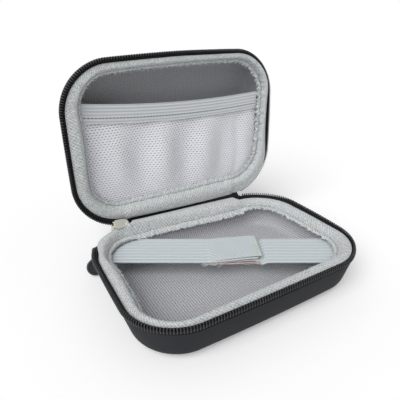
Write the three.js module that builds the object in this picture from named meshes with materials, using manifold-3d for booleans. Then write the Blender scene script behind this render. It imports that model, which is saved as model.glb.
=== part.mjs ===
// Hard zip case for a blood glucose meter, standing open with its lid upright.
// Two mirrored halves of moulded foam meet at the zip plane and share a cloth hinge along the back.
// Millimetres, +Z up. X runs along the hinge and Y from the front to the hinge.
// The origin is the centre of the base's underside.

import * as THREE from 'three';
import { mergeVertices } from 'three/addons/utils/BufferGeometryUtils.js';
import Module from 'manifold-3d';

const wasm = await Module();
wasm.setup();

const degrees = THREE.MathUtils.degToRad;
const { lerp } = THREE.MathUtils;

// Outline of the zip plane: a rounded rectangle whose sides bow outwards
const CASE_LENGTH = 120;
const CASE_WIDTH = 83.6;
const CORNER_RADIUS = 24.5;
const END_BOW = 0.7;
const SIDE_BOW = 1.5;

// Moulded shell of one half, measured down from the zip plane
const HALF_DEPTH = 20.5;
const WALL_DRAFT = degrees(14);
const FLOOR_RADIUS = 8.2;
const SHELL_WALL = 2.4;
const LIP_INSET = 1.7;
const LIP_THICKNESS = 0.9;
const LIP_DROP = 3.2;
const REBATE_DEPTH = 2.8;
const LINING_THICKNESS = 0.6;
const SEAT_GAP = 0.3;

// Zip chain: a toothed coil outside a woven tape, which leans out from the rebate
const TOOTH_PITCH = 1.27;
const TOOTH_WIDTH = 0.9;
const TOOTH_HEIGHT = 1.3;
const TOOTH_ROOT = 0.2;
const TOOTH_REACH = 0.6;
const TEETH_THICKNESS = 1.6;
const TEETH_RELIEF = 0.1;
const COIL_DROP = 2.6;
const TAPE_THICKNESS = 0.4;
const TAPE_DROP = 0.9;
const END_STOP_LENGTH = 3.2;
const END_STOP_TOP = 0.4;

// Knit binding sewn over the rim, which spreads outwards where the zip gives way to the hinge
const BINDING_SHOULDER_DROP = 3.6;
const BINDING_CROWN_INSET = 6.2;
const BINDING_CROWN_DROP = 0.2;
const BRIM_INSET = 10.2;
const BRIM_DROP = 3.5;
const BRIM_THICKNESS = 0.8;
const BINDING_TAIL_DROP = 7;
const HINGE_SHOULDER_GAP = 0.45;
const HINGE_SHOULDER_DROP = 0.8;
const HINGE_CROWN_RISE = 0.8;
const HINGE_BRIM_SAG = 0.6;
const HINGE_FADE = 5.5;

// Cloth hinge
const LID_OPEN = degrees(90);
const HINGE_INSET = 0.5;
const HINGE_TAPE_THICKNESS = 0.4;
const HINGE_TAPE_BEND_DROP = 3;
const HINGE_FOLD_INSET = 0.9;
const HINGE_FOLD_DROP = 0.35;
const HINGE_END_MARGIN = 4.5;

// Mesh pocket and its elastic in the lid, heights measured from the hinge side
const POCKET_HEIGHT = 63.3;
const POCKET_TILT = degrees(2.5);
const POCKET_SAG = 2.6;
const MESH_THICKNESS = 0.5;
const MESH_EDGE_INSET = 7.4;
const MESH_FOLD_DEPTH = 0.5;
const MESH_FOLDS = 4;
const ELASTIC_HEIGHT = 9.3;
const ELASTIC_THICKNESS = 1;
const ELASTIC_EDGE_INSET = 8.9;
const ELASTIC_DROP = 5.2;

// Elastic strap across the tray, in two pieces that overlap at a sewn seam
const STRAP_WIDTH = 21;
const STRAP_THICKNESS = 1.2;
const STRAP_TURN = degrees(-31.3);
const STRAP_OFFSET = 4.5;
const STRAP_DROP = 6.5;
const STRAP_EDGE_INSET = 7.2;
const STRAP_SEAM = 19.7;
const STRAP_OVERLAP = 28;

// Zip slider, parked where the chain meets the hinge
const SLIDER_CENTRE = 4;
const SLIDER_LENGTH = 8.4;
const SLIDER_HALF_WIDTH = 2.6;
const SLIDER_CORNER = 2.2;
const SLIDER_PLATE = 1;
const SLIDER_CHANNEL = 3;
const SLIDER_SINK = 0.2;
const SLIDER_MOUTH_GAP = 0.5;
const FLANGE_HEIGHT = 0.6;
const FLANGE_DEPTH = 0.7;
const WEDGE_LENGTH = 1.8;
const WEDGE_HALF_WIDTH = 0.8;
const CROWN_LENGTH = 6;
const CROWN_OPENING = 2.8;
const CROWN_BAR = 1;
const CROWN_HALF_WIDTH = 0.6;

// Pull: a wire link round the crown's bar, and a moulded tab hanging from the link
const PULL_OFFSET = 0.5;
const PULL_SWING = degrees(47.6);
const PULL_LIFT = degrees(17.5);
const LINK_WIRE = 0.9;
const LINK_CLEARANCE = 0.9;
const LINK_HOLE_LENGTH = 7;
const LINK_HOLE_WIDTH = 3.2;
const LINK_HOLE_CORNER = 0.5;
const TAB_THICKNESS = 2;
const TAB_EYE_RADIUS = 0.85;
const TAB_EYE_WALL = 1.1;
const TAB_NECK = 8;
const TAB_LENGTH = 20.9;
const TAB_WIDTH = 8.8;
const TAB_BEVEL = 0.5;

// Facets
const RIM_STRETCHES = 8;
const RIM_SAMPLES = 200 * RIM_STRETCHES;
const CORNER_STEPS = 7;
const SIDE_STEPS = 4;
const FLOOR_STEPS = 3;
const BRIM_STEPS = 4;
const UNDERSIDE_STEPS = 2;
const MESH_ROWS = 8;
const MESH_COLUMNS = 16;
const CURVE_STEPS = 4;
const END_SAMPLES = 60;
const WELD = 1e-4;

// Places that follow from the sizes above
const BASE = -1;
const LID = 1;
const REBATE_DROP = LIP_DROP + REBATE_DEPTH;
const TAPE_OUTER = TEETH_THICKNESS + SEAT_GAP;
const TAPE_INNER = TAPE_OUTER + TAPE_THICKNESS;
const TAPE_BEND_DROP = LIP_DROP - SEAT_GAP;
const TAPE_FOOT_DROP = REBATE_DROP - SEAT_GAP;
const TAPE_FOOT_OUTER = LIP_INSET + LIP_THICKNESS + SEAT_GAP;
const TAPE_FOOT_INNER = TAPE_FOOT_OUTER + TAPE_THICKNESS;
const TAPE_FOOT_MIDDLE = (TAPE_FOOT_OUTER + TAPE_FOOT_INNER) / 2;
const BINDING_OUTER = TAPE_FOOT_INNER + SEAT_GAP;
const LINING_OFFSET = SHELL_WALL + SEAT_GAP;
const CAVITY_OFFSET = LINING_OFFSET + LINING_THICKNESS;
const REAR_EDGE = CASE_WIDTH / 2 + SIDE_BOW;
const HINGE_Y = REAR_EDGE - HINGE_INSET;
const MESH_DROP = ELASTIC_DROP + ELASTIC_THICKNESS + SEAT_GAP;

// Finishes
const finish = (color, roughness, metalness = 0) =>
  new THREE.MeshStandardMaterial({ color, roughness, metalness });
const COVER = finish(0x3c3e42, 0.75);
const LINING = finish(0x9a9ca0, 0.95);
const BINDING = finish(0xa6aeab, 0.95);
const ZIP = finish(0x1d1e20, 0.55);
const MESH = finish(0xc8c9cf, 0.9);
const ELASTIC = finish(0xb7bdc2, 0.85);
const NICKEL = finish(0xc3c0b5, 0.3, 0.9);
const PULL = finish(0x2b2d31, 0.6);

// Rim outline, counter-clockwise from the hinge's left end: corner, end, corner, front and back round
function cornerPoint(corner, along) {
  const middle = (corner + 1.5) * (Math.PI / 2);
  const angle = (corner + 1 + along) * (Math.PI / 2);
  const x = Math.sign(Math.cos(middle)) * (CASE_LENGTH / 2 - CORNER_RADIUS);
  const y = Math.sign(Math.sin(middle)) * (CASE_WIDTH / 2 - CORNER_RADIUS);
  return new THREE.Vector2(x + CORNER_RADIUS * Math.cos(angle), y + CORNER_RADIUS * Math.sin(angle));
}

class RimCurve extends THREE.Curve {
  getPoint(t, target = new THREE.Vector3()) {
    const stretch = Math.min(Math.floor(t * RIM_STRETCHES), RIM_STRETCHES - 1);
    const along = t * RIM_STRETCHES - stretch;
    const corner = Math.floor(stretch / 2);
    const plain = stretch % 2 === 0
      ? cornerPoint(corner, along)
      : cornerPoint(corner, 1).lerp(cornerPoint(corner + 1, 0), along);
    const fromEnd = 1 - (2 * plain.y / CASE_WIDTH) ** 2;
    const fromSide = 1 - (2 * plain.x / CASE_LENGTH) ** 2;
    const x = plain.x * (1 + 2 * END_BOW / CASE_LENGTH * fromEnd);
    const y = plain.y * (1 + 2 * SIDE_BOW / CASE_WIDTH * fromSide);
    return target.set(x, y, 0);
  }
}

const rim = new RimCurve();
rim.arcLengthDivisions = RIM_SAMPLES;
const RIM_LENGTH = rim.getLength();
const HINGE_STRETCH = RIM_STRETCHES - 1;
const RIGHT_STRETCH = HINGE_STRETCH - 3;
const lengthAt = (stretch) => rim.getLengths()[stretch * RIM_SAMPLES / RIM_STRETCHES];
const CHAIN_START = SLIDER_CENTRE + SLIDER_LENGTH / 2 + SLIDER_MOUTH_GAP;
const CHAIN_END = lengthAt(HINGE_STRETCH) - END_STOP_LENGTH - SEAT_GAP;

// A station is a rim point with its outward normal and its share of the hinge's section
function station(length, hinge = 0) {
  const u = THREE.MathUtils.clamp(length / RIM_LENGTH, 0, 1);
  const tangent = rim.getTangentAt(u);
  return { length, hinge, point: rim.getPointAt(u), outward: new THREE.Vector3(tangent.y, -tangent.x, 0) };
}

function ringStations() {
  const stations = [];
  for (let stretch = 0; stretch < RIM_STRETCHES; stretch += 1) {
    const steps = stretch % 2 === 0 ? CORNER_STEPS : SIDE_STEPS;
    const [start, end] = [lengthAt(stretch), lengthAt(stretch + 1)];
    for (let i = 0; i < steps; i += 1) {
      const onHinge = stretch === HINGE_STRETCH && i > 0;
      const length = onHinge
        ? lerp(start + HINGE_FADE, end - HINGE_FADE, (i - 1) / (steps - 2))
        : lerp(start, end, i / steps);
      stations.push(station(length, onHinge ? 1 : 0));
    }
  }
  return stations;
}

const RING = ringStations();

function stripStations(start, end) {
  return [station(start), ...RING.filter(({ length }) => length > start && length < end), station(end)];
}

// Closed geometry from points and triangles, with its faces turned outwards
function closedGeometry(points, triangles) {
  let volume = 0;
  const normal = new THREE.Vector3();
  for (const [a, b, c] of triangles) {
    volume += points[a].dot(normal.crossVectors(points[b], points[c]));
  }
  const order = volume > 0 ? triangles : triangles.map(([a, b, c]) => [a, c, b]);
  const coordinates = points.flatMap((p) => p.toArray());
  const geometry = new THREE.BufferGeometry();
  geometry.setAttribute('position', new THREE.Float32BufferAttribute(coordinates, 3));
  geometry.setIndex(order.flat());
  geometry.computeVertexNormals();
  return geometry;
}

function place({ point, outward }, [inset, drop], side) {
  return point.clone().addScaledVector(outward, -inset).setZ(side * drop);
}

// Quads between neighbouring rings of points; closed rings join their last point to the first
function skin(rings, closedRings, closedLoop) {
  const size = rings[0].length;
  const triangles = [];
  for (let r = 0; r < rings.length - (closedLoop ? 0 : 1); r += 1) {
    for (let i = 0; i < size - (closedRings ? 0 : 1); i += 1) {
      const next = (i + 1) % size;
      const above = (r + 1) % rings.length;
      const [a, b, c, d] = [r * size + i, r * size + next, above * size + next, above * size + i];
      triangles.push([a, b, c], [a, c, d]);
    }
  }
  return triangles;
}

// Bowl whose profile runs from the middle of its outside to the middle of its inside
function bowl(profile, side) {
  const rings = profile.map((spot) => RING.map((stop) => place(stop, spot, side)));
  const points = rings.flat();
  const triangles = skin(rings, true, false);
  const size = RING.length;
  const capStarts = [0, points.length - size];
  const capDrops = [profile[0][1], profile[profile.length - 1][1]];
  capStarts.forEach((start, cap) => {
    const centre = points.push(new THREE.Vector3(0, 0, side * capDrops[cap])) - 1;
    for (let i = 0; i < size; i += 1) {
      const edge = [start + i, start + (i + 1) % size];
      triangles.push(cap === 0 ? [edge[1], edge[0], centre] : [edge[0], edge[1], centre]);
    }
  });
  return closedGeometry(points, triangles);
}

// Ring of constant topology: the section may change from station to station
function ring(sectionAt, side) {
  const rings = RING.map((stop) => sectionAt(stop).map((spot) => place(stop, spot, side)));
  return closedGeometry(rings.flat(), skin(rings, true, true));
}

// Strip along part of the rim, closed by its section at both ends
function strip(stations, section, side) {
  const rings = stations.map((stop) => section.map((spot) => place(stop, spot, side)));
  const triangles = skin(rings, true, false);
  const last = (stations.length - 1) * section.length;
  const contour = section.map((spot) => new THREE.Vector2(...spot));
  const { area } = THREE.ShapeUtils;
  for (const face of THREE.ShapeUtils.triangulateShape(contour, [])) {
    const sameTurn = area(face.map((i) => contour[i])) * area(contour) > 0;
    const [a, b, c] = sameTurn ? face : face.toReversed();
    triangles.push([c, b, a], [last + a, last + b, last + c]);
  }
  return closedGeometry(rings.flat(), triangles);
}

// Booleans
function toSolid(geometry) {
  const plain = geometry.clone();
  plain.deleteAttribute('normal');
  plain.deleteAttribute('uv');
  const merged = mergeVertices(plain, WELD);
  return new wasm.Manifold(new wasm.Mesh({
    numProp: 3,
    vertProperties: new Float32Array(merged.attributes.position.array),
    triVerts: new Uint32Array(merged.index.array),
  }));
}

function toGeometry(solid) {
  const { vertProperties, triVerts } = solid.getMesh();
  const geometry = new THREE.BufferGeometry();
  geometry.setAttribute('position', new THREE.BufferAttribute(new Float32Array(vertProperties), 3));
  geometry.setIndex(new THREE.BufferAttribute(new Uint32Array(triVerts), 1));
  geometry.computeVertexNormals();
  return geometry;
}

function block(low, high) {
  const size = high.map((value, axis) => value - low[axis]);
  const middle = high.map((value, axis) => (value + low[axis]) / 2);
  return new THREE.BoxGeometry(...size).translate(...middle);
}

// Moulded wall: inset of the face that lies a given thickness inside the outer face
const wallInset = (drop, offset) =>
  LIP_INSET + (drop - LIP_DROP) * Math.tan(WALL_DRAFT) + offset / Math.cos(WALL_DRAFT);

// Rounded turn from wall to floor, ending at the edge of the flat floor
function floorTurn(offset) {
  const centreDrop = HALF_DEPTH - FLOOR_RADIUS;
  const centreInset = wallInset(centreDrop, FLOOR_RADIUS);
  const radius = FLOOR_RADIUS - offset;
  return Array.from({ length: FLOOR_STEPS + 1 }, (_, i) => {
    const angle = lerp(WALL_DRAFT, Math.PI / 2, i / FLOOR_STEPS);
    return [centreInset - radius * Math.cos(angle), centreDrop + radius * Math.sin(angle)];
  });
}

function shell(side) {
  const lipInner = LIP_INSET + LIP_THICKNESS;
  return bowl([
    ...floorTurn(0).reverse(),
    [LIP_INSET, LIP_DROP],
    [lipInner, LIP_DROP],
    [lipInner, REBATE_DROP],
    [wallInset(REBATE_DROP, SHELL_WALL), REBATE_DROP],
    ...floorTurn(SHELL_WALL),
  ], side);
}

function lining(side) {
  return bowl([
    ...floorTurn(LINING_OFFSET).reverse(),
    [wallInset(REBATE_DROP, LINING_OFFSET), REBATE_DROP],
    [wallInset(REBATE_DROP, CAVITY_OFFSET), REBATE_DROP],
    ...floorTurn(CAVITY_OFFSET),
  ], side);
}

// Middle of the hinge tape between its bend and the fold
function hingeTapeInset(drop) {
  const share = (drop - HINGE_FOLD_DROP) / (HINGE_TAPE_BEND_DROP - HINGE_FOLD_DROP);
  return lerp(HINGE_FOLD_INSET, TAPE_FOOT_MIDDLE, share);
}

// Section of the binding: a soft roll from the tape to a thin brim, tucked back to the wall
function bindingSection({ hinge }) {
  const overTape = hingeTapeInset(HINGE_SHOULDER_DROP) + HINGE_TAPE_THICKNESS / 2 + HINGE_SHOULDER_GAP;
  const shoulderInset = lerp(BINDING_OUTER, overTape, hinge);
  const shoulderDrop = lerp(BINDING_SHOULDER_DROP, HINGE_SHOULDER_DROP, hinge);
  const footDrop = lerp(BINDING_SHOULDER_DROP + SEAT_GAP, HINGE_TAPE_BEND_DROP, hinge);
  const crownDrop = BINDING_CROWN_DROP - HINGE_CROWN_RISE * hinge;
  const brimDrop = BRIM_DROP + HINGE_BRIM_SAG * hinge;
  const roll = new THREE.QuadraticBezierCurve(
    new THREE.Vector2(shoulderInset, shoulderDrop),
    new THREE.Vector2(BINDING_CROWN_INSET, crownDrop),
    new THREE.Vector2(BRIM_INSET, brimDrop),
  );
  const tailInset = wallInset(BINDING_TAIL_DROP, CAVITY_OFFSET) + SEAT_GAP;
  const underside = new THREE.QuadraticBezierCurve(
    new THREE.Vector2(BRIM_INSET, brimDrop + BRIM_THICKNESS),
    new THREE.Vector2((BRIM_INSET + tailInset) / 2, brimDrop + BRIM_THICKNESS),
    new THREE.Vector2(tailInset, BINDING_TAIL_DROP),
  );
  return [
    [BINDING_OUTER, TAPE_FOOT_DROP],
    [BINDING_OUTER, footDrop],
    ...roll.getPoints(BRIM_STEPS).map((p) => p.toArray()),
    ...underside.getPoints(UNDERSIDE_STEPS).map((p) => p.toArray()),
    [wallInset(TAPE_FOOT_DROP, CAVITY_OFFSET) + SEAT_GAP, TAPE_FOOT_DROP],
  ];
}

const binding = (side) => ring(bindingSection, side);

function zipTape(side) {
  const section = [
    [TAPE_OUTER, TAPE_DROP],
    [TAPE_INNER, TAPE_DROP],
    [TAPE_FOOT_INNER, TAPE_BEND_DROP],
    [TAPE_FOOT_INNER, TAPE_FOOT_DROP],
    [TAPE_FOOT_OUTER, TAPE_FOOT_DROP],
    [TAPE_FOOT_OUTER, TAPE_BEND_DROP],
  ];
  return strip(stripStations(CHAIN_START, CHAIN_END), section, side);
}

// One turn of the coil stands on its spine and points across the zip plane
function tooth(length, side) {
  const { point, outward } = station(length);
  const root = TOOTH_HEIGHT - TOOTH_REACH + TOOTH_ROOT;
  const profile = new THREE.Shape([
    new THREE.Vector2(-TOOTH_WIDTH / 2, side * root),
    new THREE.Vector2(TOOTH_WIDTH / 2, side * root),
    new THREE.Vector2(0, -side * TOOTH_REACH),
  ]);
  const depth = TEETH_THICKNESS - 2 * TEETH_RELIEF;
  const geometry = new THREE.ExtrudeGeometry(profile, { depth, bevelEnabled: false });
  geometry.rotateX(Math.PI / 2);
  geometry.rotateZ(Math.atan2(outward.y, outward.x) - Math.PI / 2);
  const face = place({ point, outward }, [TEETH_RELIEF, 0], side);
  return geometry.translate(...face.toArray());
}

// Coil chain: the lid's teeth sit half a pitch further on, so that they fall between the base's
function zipTeeth(side) {
  const top = TOOTH_HEIGHT - TOOTH_REACH;
  const section = [[0, top], [TEETH_THICKNESS, top], [TEETH_THICKNESS, COIL_DROP], [0, COIL_DROP]];
  let chain = toSolid(strip(stripStations(CHAIN_START, CHAIN_END), section, side));
  const first = CHAIN_START + TOOTH_PITCH * (side === BASE ? 0.5 : 1);
  for (let length = first; length < CHAIN_END - TOOTH_PITCH / 2; length += TOOTH_PITCH) {
    chain = chain.add(toSolid(tooth(length, side)));
  }
  return toGeometry(chain);
}

// Stop at the zip's far end, in the rebate of the base
function endStop() {
  const start = CHAIN_END + SEAT_GAP;
  const section = [
    [TAPE_INNER, END_STOP_TOP],
    [TAPE_INNER, TAPE_DROP],
    [TAPE_FOOT_INNER, TAPE_BEND_DROP],
    [TAPE_FOOT_INNER, TAPE_FOOT_DROP],
    [TAPE_FOOT_OUTER, TAPE_FOOT_DROP],
    [TAPE_FOOT_OUTER, TAPE_BEND_DROP],
    [TAPE_OUTER, COIL_DROP],
    [TEETH_RELIEF, COIL_DROP],
    [TEETH_RELIEF, END_STOP_TOP],
  ];
  return strip([station(start), station(start + END_STOP_LENGTH)], section, BASE);
}

// Half of the hinge tape: from the rebate to the fold at the zip plane
function hingeTape(side) {
  const half = HINGE_TAPE_THICKNESS / 2;
  const start = lengthAt(HINGE_STRETCH) + HINGE_END_MARGIN;
  const end = RIM_LENGTH - HINGE_END_MARGIN;
  const section = [
    [TAPE_FOOT_MIDDLE - half, TAPE_FOOT_DROP],
    [TAPE_FOOT_MIDDLE - half, HINGE_TAPE_BEND_DROP],
    [HINGE_FOLD_INSET - half, HINGE_FOLD_DROP],
    [HINGE_FOLD_INSET + half, HINGE_FOLD_DROP],
    [TAPE_FOOT_MIDDLE + half, HINGE_TAPE_BEND_DROP],
    [TAPE_FOOT_MIDDLE + half, TAPE_FOOT_DROP],
  ];
  return strip(stripStations(start, end), section, side);
}

// The right-hand end of the rim, from the front to the hinge
const RIGHT_END = Array.from({ length: END_SAMPLES + 1 }, (_, i) =>
  station(lerp(lengthAt(RIGHT_STRETCH), lengthAt(HINGE_STRETCH), i / END_SAMPLES)));

// Half the free length inside the rim at a given distance from its middle line
function innerHalfLength(y, inset) {
  const edge = RIGHT_END.map((stop) => place(stop, [inset, 0], BASE));
  const below = edge.filter((p) => p.y <= y).length;
  const after = THREE.MathUtils.clamp(below, 1, END_SAMPLES);
  const [a, b] = [edge[after - 1], edge[after]];
  return lerp(a.x, b.x, (y - a.y) / (b.y - a.y));
}

// Line of the hinge side at a given inset
function hingeSide(x, inset) {
  return CASE_WIDTH / 2 + SIDE_BOW * (1 - (2 * x / CASE_LENGTH) ** 2) - inset;
}

// Upper edge of the pocket: tilted a little, and sagging between its ends
function pocketTop(x) {
  const share = x / innerHalfLength(0, MESH_EDGE_INSET);
  const height = POCKET_HEIGHT - x * Math.tan(POCKET_TILT) - POCKET_SAG * (1 - share ** 2);
  return REAR_EDGE - height;
}

// Closed sheet between two grids of points
function sheet(front, back) {
  const columns = front[0].length;
  const rows = front.length;
  const points = [...front.flat(), ...back.flat()];
  const offset = rows * columns;
  const triangles = skin(front, false, false);
  skin(back, false, false).forEach(([a, b, c]) => triangles.push([offset + a, offset + c, offset + b]));
  const span = (count, step, start) => Array.from({ length: count - 1 }, (_, i) => start + i * step);
  const edge = [
    ...span(columns, 1, 0),
    ...span(rows, columns, columns - 1),
    ...span(columns, -1, rows * columns - 1),
    ...span(rows, -columns, (rows - 1) * columns),
  ];
  edge.forEach((a, i) => {
    const b = edge[(i + 1) % edge.length];
    triangles.push([b, a, offset + a], [b, offset + a, offset + b]);
  });
  return closedGeometry(points, triangles);
}

// Mesh panel of the pocket: slack between its sewn edges, so it lies in soft upright folds
function meshPocket() {
  const foot = CASE_LENGTH / 2 - CORNER_RADIUS;
  const row = (r, layer) => Array.from({ length: MESH_COLUMNS + 1 }, (_, c) => {
    const across = 2 * c / MESH_COLUMNS - 1;
    const up = r / MESH_ROWS;
    const bottom = hingeSide(across * foot, MESH_EDGE_INSET);
    const y = lerp(bottom, pocketTop(across * innerHalfLength(0, MESH_EDGE_INSET)), up);
    const x = across * innerHalfLength(y, MESH_EDGE_INSET);
    const slack = Math.sin(Math.PI * up) ** 2 * (1 - across ** 2);
    const fold = MESH_FOLD_DEPTH * slack * Math.sin(MESH_FOLDS * Math.PI * across);
    return new THREE.Vector3(x, y, MESH_DROP + fold + layer);
  });
  const grid = (layer) => Array.from({ length: MESH_ROWS + 1 }, (_, r) => row(r, layer));
  return sheet(grid(0), grid(MESH_THICKNESS));
}

// Folded elastic along the pocket's mouth
function pocketElastic() {
  const line = (fall, layer) => Array.from({ length: MESH_COLUMNS + 1 }, (_, c) => {
    const across = 2 * c / MESH_COLUMNS - 1;
    const y = pocketTop(across * innerHalfLength(0, MESH_EDGE_INSET)) + fall;
    return new THREE.Vector3(across * innerHalfLength(y, ELASTIC_EDGE_INSET), y, ELASTIC_DROP + layer);
  });
  const grid = (layer) => [line(0, layer), line(ELASTIC_HEIGHT, layer)];
  return sheet(grid(0), grid(ELASTIC_THICKNESS));
}

// Piece of the strap between two places along it, trimmed to the rim
function strapPiece(from, to, drop) {
  const low = [from, -STRAP_WIDTH / 2, -drop - STRAP_THICKNESS];
  const high = [to, STRAP_WIDTH / 2, -drop];
  const band = block(low, high).rotateZ(STRAP_TURN).translate(0, STRAP_OFFSET, 0);
  const [above, below] = [drop - STRAP_THICKNESS, drop + 2 * STRAP_THICKNESS];
  const cavity = bowl([[STRAP_EDGE_INSET, above], [STRAP_EDGE_INSET, below]], BASE);
  return toGeometry(toSolid(band).intersect(toSolid(cavity)));
}

const strapLeft = () => strapPiece(-CASE_LENGTH, STRAP_SEAM, STRAP_DROP);
const strapRight = () =>
  strapPiece(STRAP_SEAM - STRAP_OVERLAP, CASE_LENGTH, STRAP_DROP + STRAP_THICKNESS + SEAT_GAP);

// A path's points without the doubles where its curves join
function outline(path) {
  const points = path.getPoints(CURVE_STEPS);
  return points.filter((p, i) => p.distanceTo(points[(i + 1) % points.length]) > WELD);
}

function roundedRectangle(length, width, radius) {
  const [x, y] = [length / 2, width / 2];
  const path = new THREE.Path();
  path.absarc(x - radius, y - radius, radius, 0, Math.PI / 2);
  path.absarc(radius - x, y - radius, radius, Math.PI / 2, Math.PI);
  path.absarc(radius - x, radius - y, radius, Math.PI, 1.5 * Math.PI);
  path.absarc(x - radius, radius - y, radius, 1.5 * Math.PI, 2 * Math.PI);
  return outline(path);
}

// Turns a flat X-Y extrusion so that its thickness runs outwards along +Y
const standUp = (geometry) => geometry.rotateX(Math.PI / 2);

// Slider in its own frame: +X towards the hinge, +Y out of the case, Z across the zip plane
function sliderBody() {
  const face = new THREE.Shape(roundedRectangle(SLIDER_LENGTH, 2 * SLIDER_HALF_WIDTH, SLIDER_CORNER));
  const slab = standUp(new THREE.ExtrudeGeometry(face, { depth: SLIDER_PLATE, bevelEnabled: false }));
  const plate = (y) => toSolid(slab.clone().translate(0, y + SLIDER_PLATE, 0));
  const outerFace = -SLIDER_SINK;
  const innerFace = outerFace - SLIDER_CHANNEL;
  const overlap = SLIDER_PLATE / 2;
  const mouth = -SLIDER_LENGTH / 2 + SLIDER_PLATE;
  const wedge = block(
    [mouth, innerFace - overlap, -WEDGE_HALF_WIDTH],
    [mouth + WEDGE_LENGTH, outerFace + overlap, WEDGE_HALF_WIDTH],
  );
  let body = plate(outerFace).add(plate(innerFace - SLIDER_PLATE)).add(toSolid(wedge));
  const flangeEnd = SLIDER_LENGTH / 2 - SLIDER_CORNER;
  const flangeSpans = [
    [outerFace - FLANGE_DEPTH, outerFace + overlap],
    [innerFace - overlap, innerFace + FLANGE_DEPTH],
  ];
  for (const z of [-SLIDER_HALF_WIDTH, SLIDER_HALF_WIDTH - FLANGE_HEIGHT]) {
    for (const [low, high] of flangeSpans) {
      body = body.add(toSolid(block([-flangeEnd, low, z], [flangeEnd, high, z + FLANGE_HEIGHT])));
    }
  }
  const foot = outerFace + SLIDER_PLATE;
  const arch = block(
    [-CROWN_LENGTH / 2, foot - overlap, -CROWN_HALF_WIDTH],
    [CROWN_LENGTH / 2, foot + CROWN_OPENING + CROWN_BAR, CROWN_HALF_WIDTH],
  );
  const opening = block(
    [-CROWN_LENGTH / 2 + CROWN_BAR, foot, -SLIDER_LENGTH],
    [CROWN_LENGTH / 2 - CROWN_BAR, foot + CROWN_OPENING, SLIDER_LENGTH],
  );
  return toGeometry(body.add(toSolid(arch).subtract(toSolid(opening))));
}

// Pull pieces in their own frame: +X along the pull from the crown's bar, +Y out of the case
const LINK_HEEL = CROWN_HALF_WIDTH / Math.sin(PULL_SWING) / Math.cos(PULL_LIFT) + LINK_CLEARANCE;
const LINK_REACH = LINK_HOLE_LENGTH - LINK_HEEL + LINK_WIRE / 2;

function pullLink() {
  const length = LINK_HOLE_LENGTH + 2 * LINK_WIRE;
  const width = LINK_HOLE_WIDTH + 2 * LINK_WIRE;
  const shape = new THREE.Shape(roundedRectangle(length, width, LINK_HOLE_CORNER + LINK_WIRE));
  shape.holes.push(new THREE.Path(roundedRectangle(LINK_HOLE_LENGTH, LINK_HOLE_WIDTH, LINK_HOLE_CORNER)));
  const geometry = new THREE.ExtrudeGeometry(shape, { depth: LINK_WIRE, bevelEnabled: false });
  return geometry.translate(LINK_HOLE_LENGTH / 2 - LINK_HEEL, 0, -LINK_WIRE / 2);
}

// Tab in a frame whose origin is the link's far end, flat across the link's plane
function pullTab() {
  const heel = TAB_EYE_RADIUS + TAB_EYE_WALL;
  const bulb = TAB_WIDTH / 2;
  const side = new THREE.Path();
  side.absarc(0, 0, heel, Math.PI / 2, 1.5 * Math.PI);
  side.quadraticCurveTo(TAB_NECK, -heel, TAB_LENGTH - bulb, -bulb);
  side.absarc(TAB_LENGTH - bulb, 0, bulb, -Math.PI / 2, Math.PI / 2);
  side.quadraticCurveTo(TAB_NECK, heel, 0, heel);
  const geometry = new THREE.ExtrudeGeometry(new THREE.Shape(outline(side)), {
    depth: TAB_THICKNESS - 2 * TAB_BEVEL,
    bevelSize: TAB_BEVEL,
    bevelOffset: -TAB_BEVEL,
    bevelThickness: TAB_BEVEL,
    bevelSegments: 1,
  });
  const body = standUp(geometry).translate(0, TAB_THICKNESS / 2 - TAB_BEVEL, 0);
  const eyeSize = [TAB_EYE_RADIUS, TAB_EYE_RADIUS, 2 * TAB_THICKNESS, 2 * CURVE_STEPS];
  return toGeometry(toSolid(body).subtract(toSolid(new THREE.CylinderGeometry(...eyeSize))));
}

// Assembly
function piece(name, geometry, material) {
  const mesh = new THREE.Mesh(geometry, material);
  mesh.name = name;
  return mesh;
}

const base = new THREE.Group();
base.add(
  piece('base_shell', shell(BASE), COVER),
  piece('base_lining', lining(BASE), LINING),
  piece('base_binding', binding(BASE), BINDING),
  piece('base_zip_tape', zipTape(BASE), ZIP),
  piece('base_zip_teeth', zipTeeth(BASE), ZIP),
  piece('base_hinge_tape', hingeTape(BASE), ZIP),
  piece('zip_end_stop', endStop(), ZIP),
  piece('strap_left', strapLeft(), ELASTIC),
  piece('strap_right', strapRight(), ELASTIC),
);

// What swings on the hinge is built closed, then turned open about the fold
function hinged(angle, ...pieces) {
  const pivot = new THREE.Group();
  const closed = new THREE.Group();
  pivot.position.y = HINGE_Y;
  pivot.rotation.x = -angle;
  closed.position.y = -HINGE_Y;
  closed.add(...pieces);
  pivot.add(closed);
  return pivot;
}

const lid = hinged(
  LID_OPEN,
  piece('lid_shell', shell(LID), COVER),
  piece('lid_lining', lining(LID), LINING),
  piece('lid_binding', binding(LID), BINDING),
  piece('lid_zip_tape', zipTape(LID), ZIP),
  piece('lid_zip_teeth', zipTeeth(LID), ZIP),
  piece('lid_hinge_tape', hingeTape(LID), ZIP),
  piece('mesh_pocket', meshPocket(), MESH),
  piece('pocket_elastic', pocketElastic(), ELASTIC),
);

// The slider holds both tapes, so it leans half as far as the lid
const tab = new THREE.Group();
tab.position.x = LINK_REACH;
tab.add(piece('pull_tab', pullTab(), PULL));

const pull = new THREE.Group();
pull.position.set(-PULL_OFFSET, SLIDER_PLATE - SLIDER_SINK + CROWN_OPENING + CROWN_BAR / 2, 0);
pull.rotation.set(0, Math.PI - PULL_SWING, PULL_LIFT, 'YZX');
pull.add(piece('pull_link', pullLink(), NICKEL), tab);

const sliderStop = station(SLIDER_CENTRE);
const slider = new THREE.Group();
slider.position.copy(sliderStop.point);
slider.rotation.z = Math.atan2(sliderStop.outward.y, sliderStop.outward.x) - Math.PI / 2;
slider.add(piece('slider_body', sliderBody(), NICKEL), pull);

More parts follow.
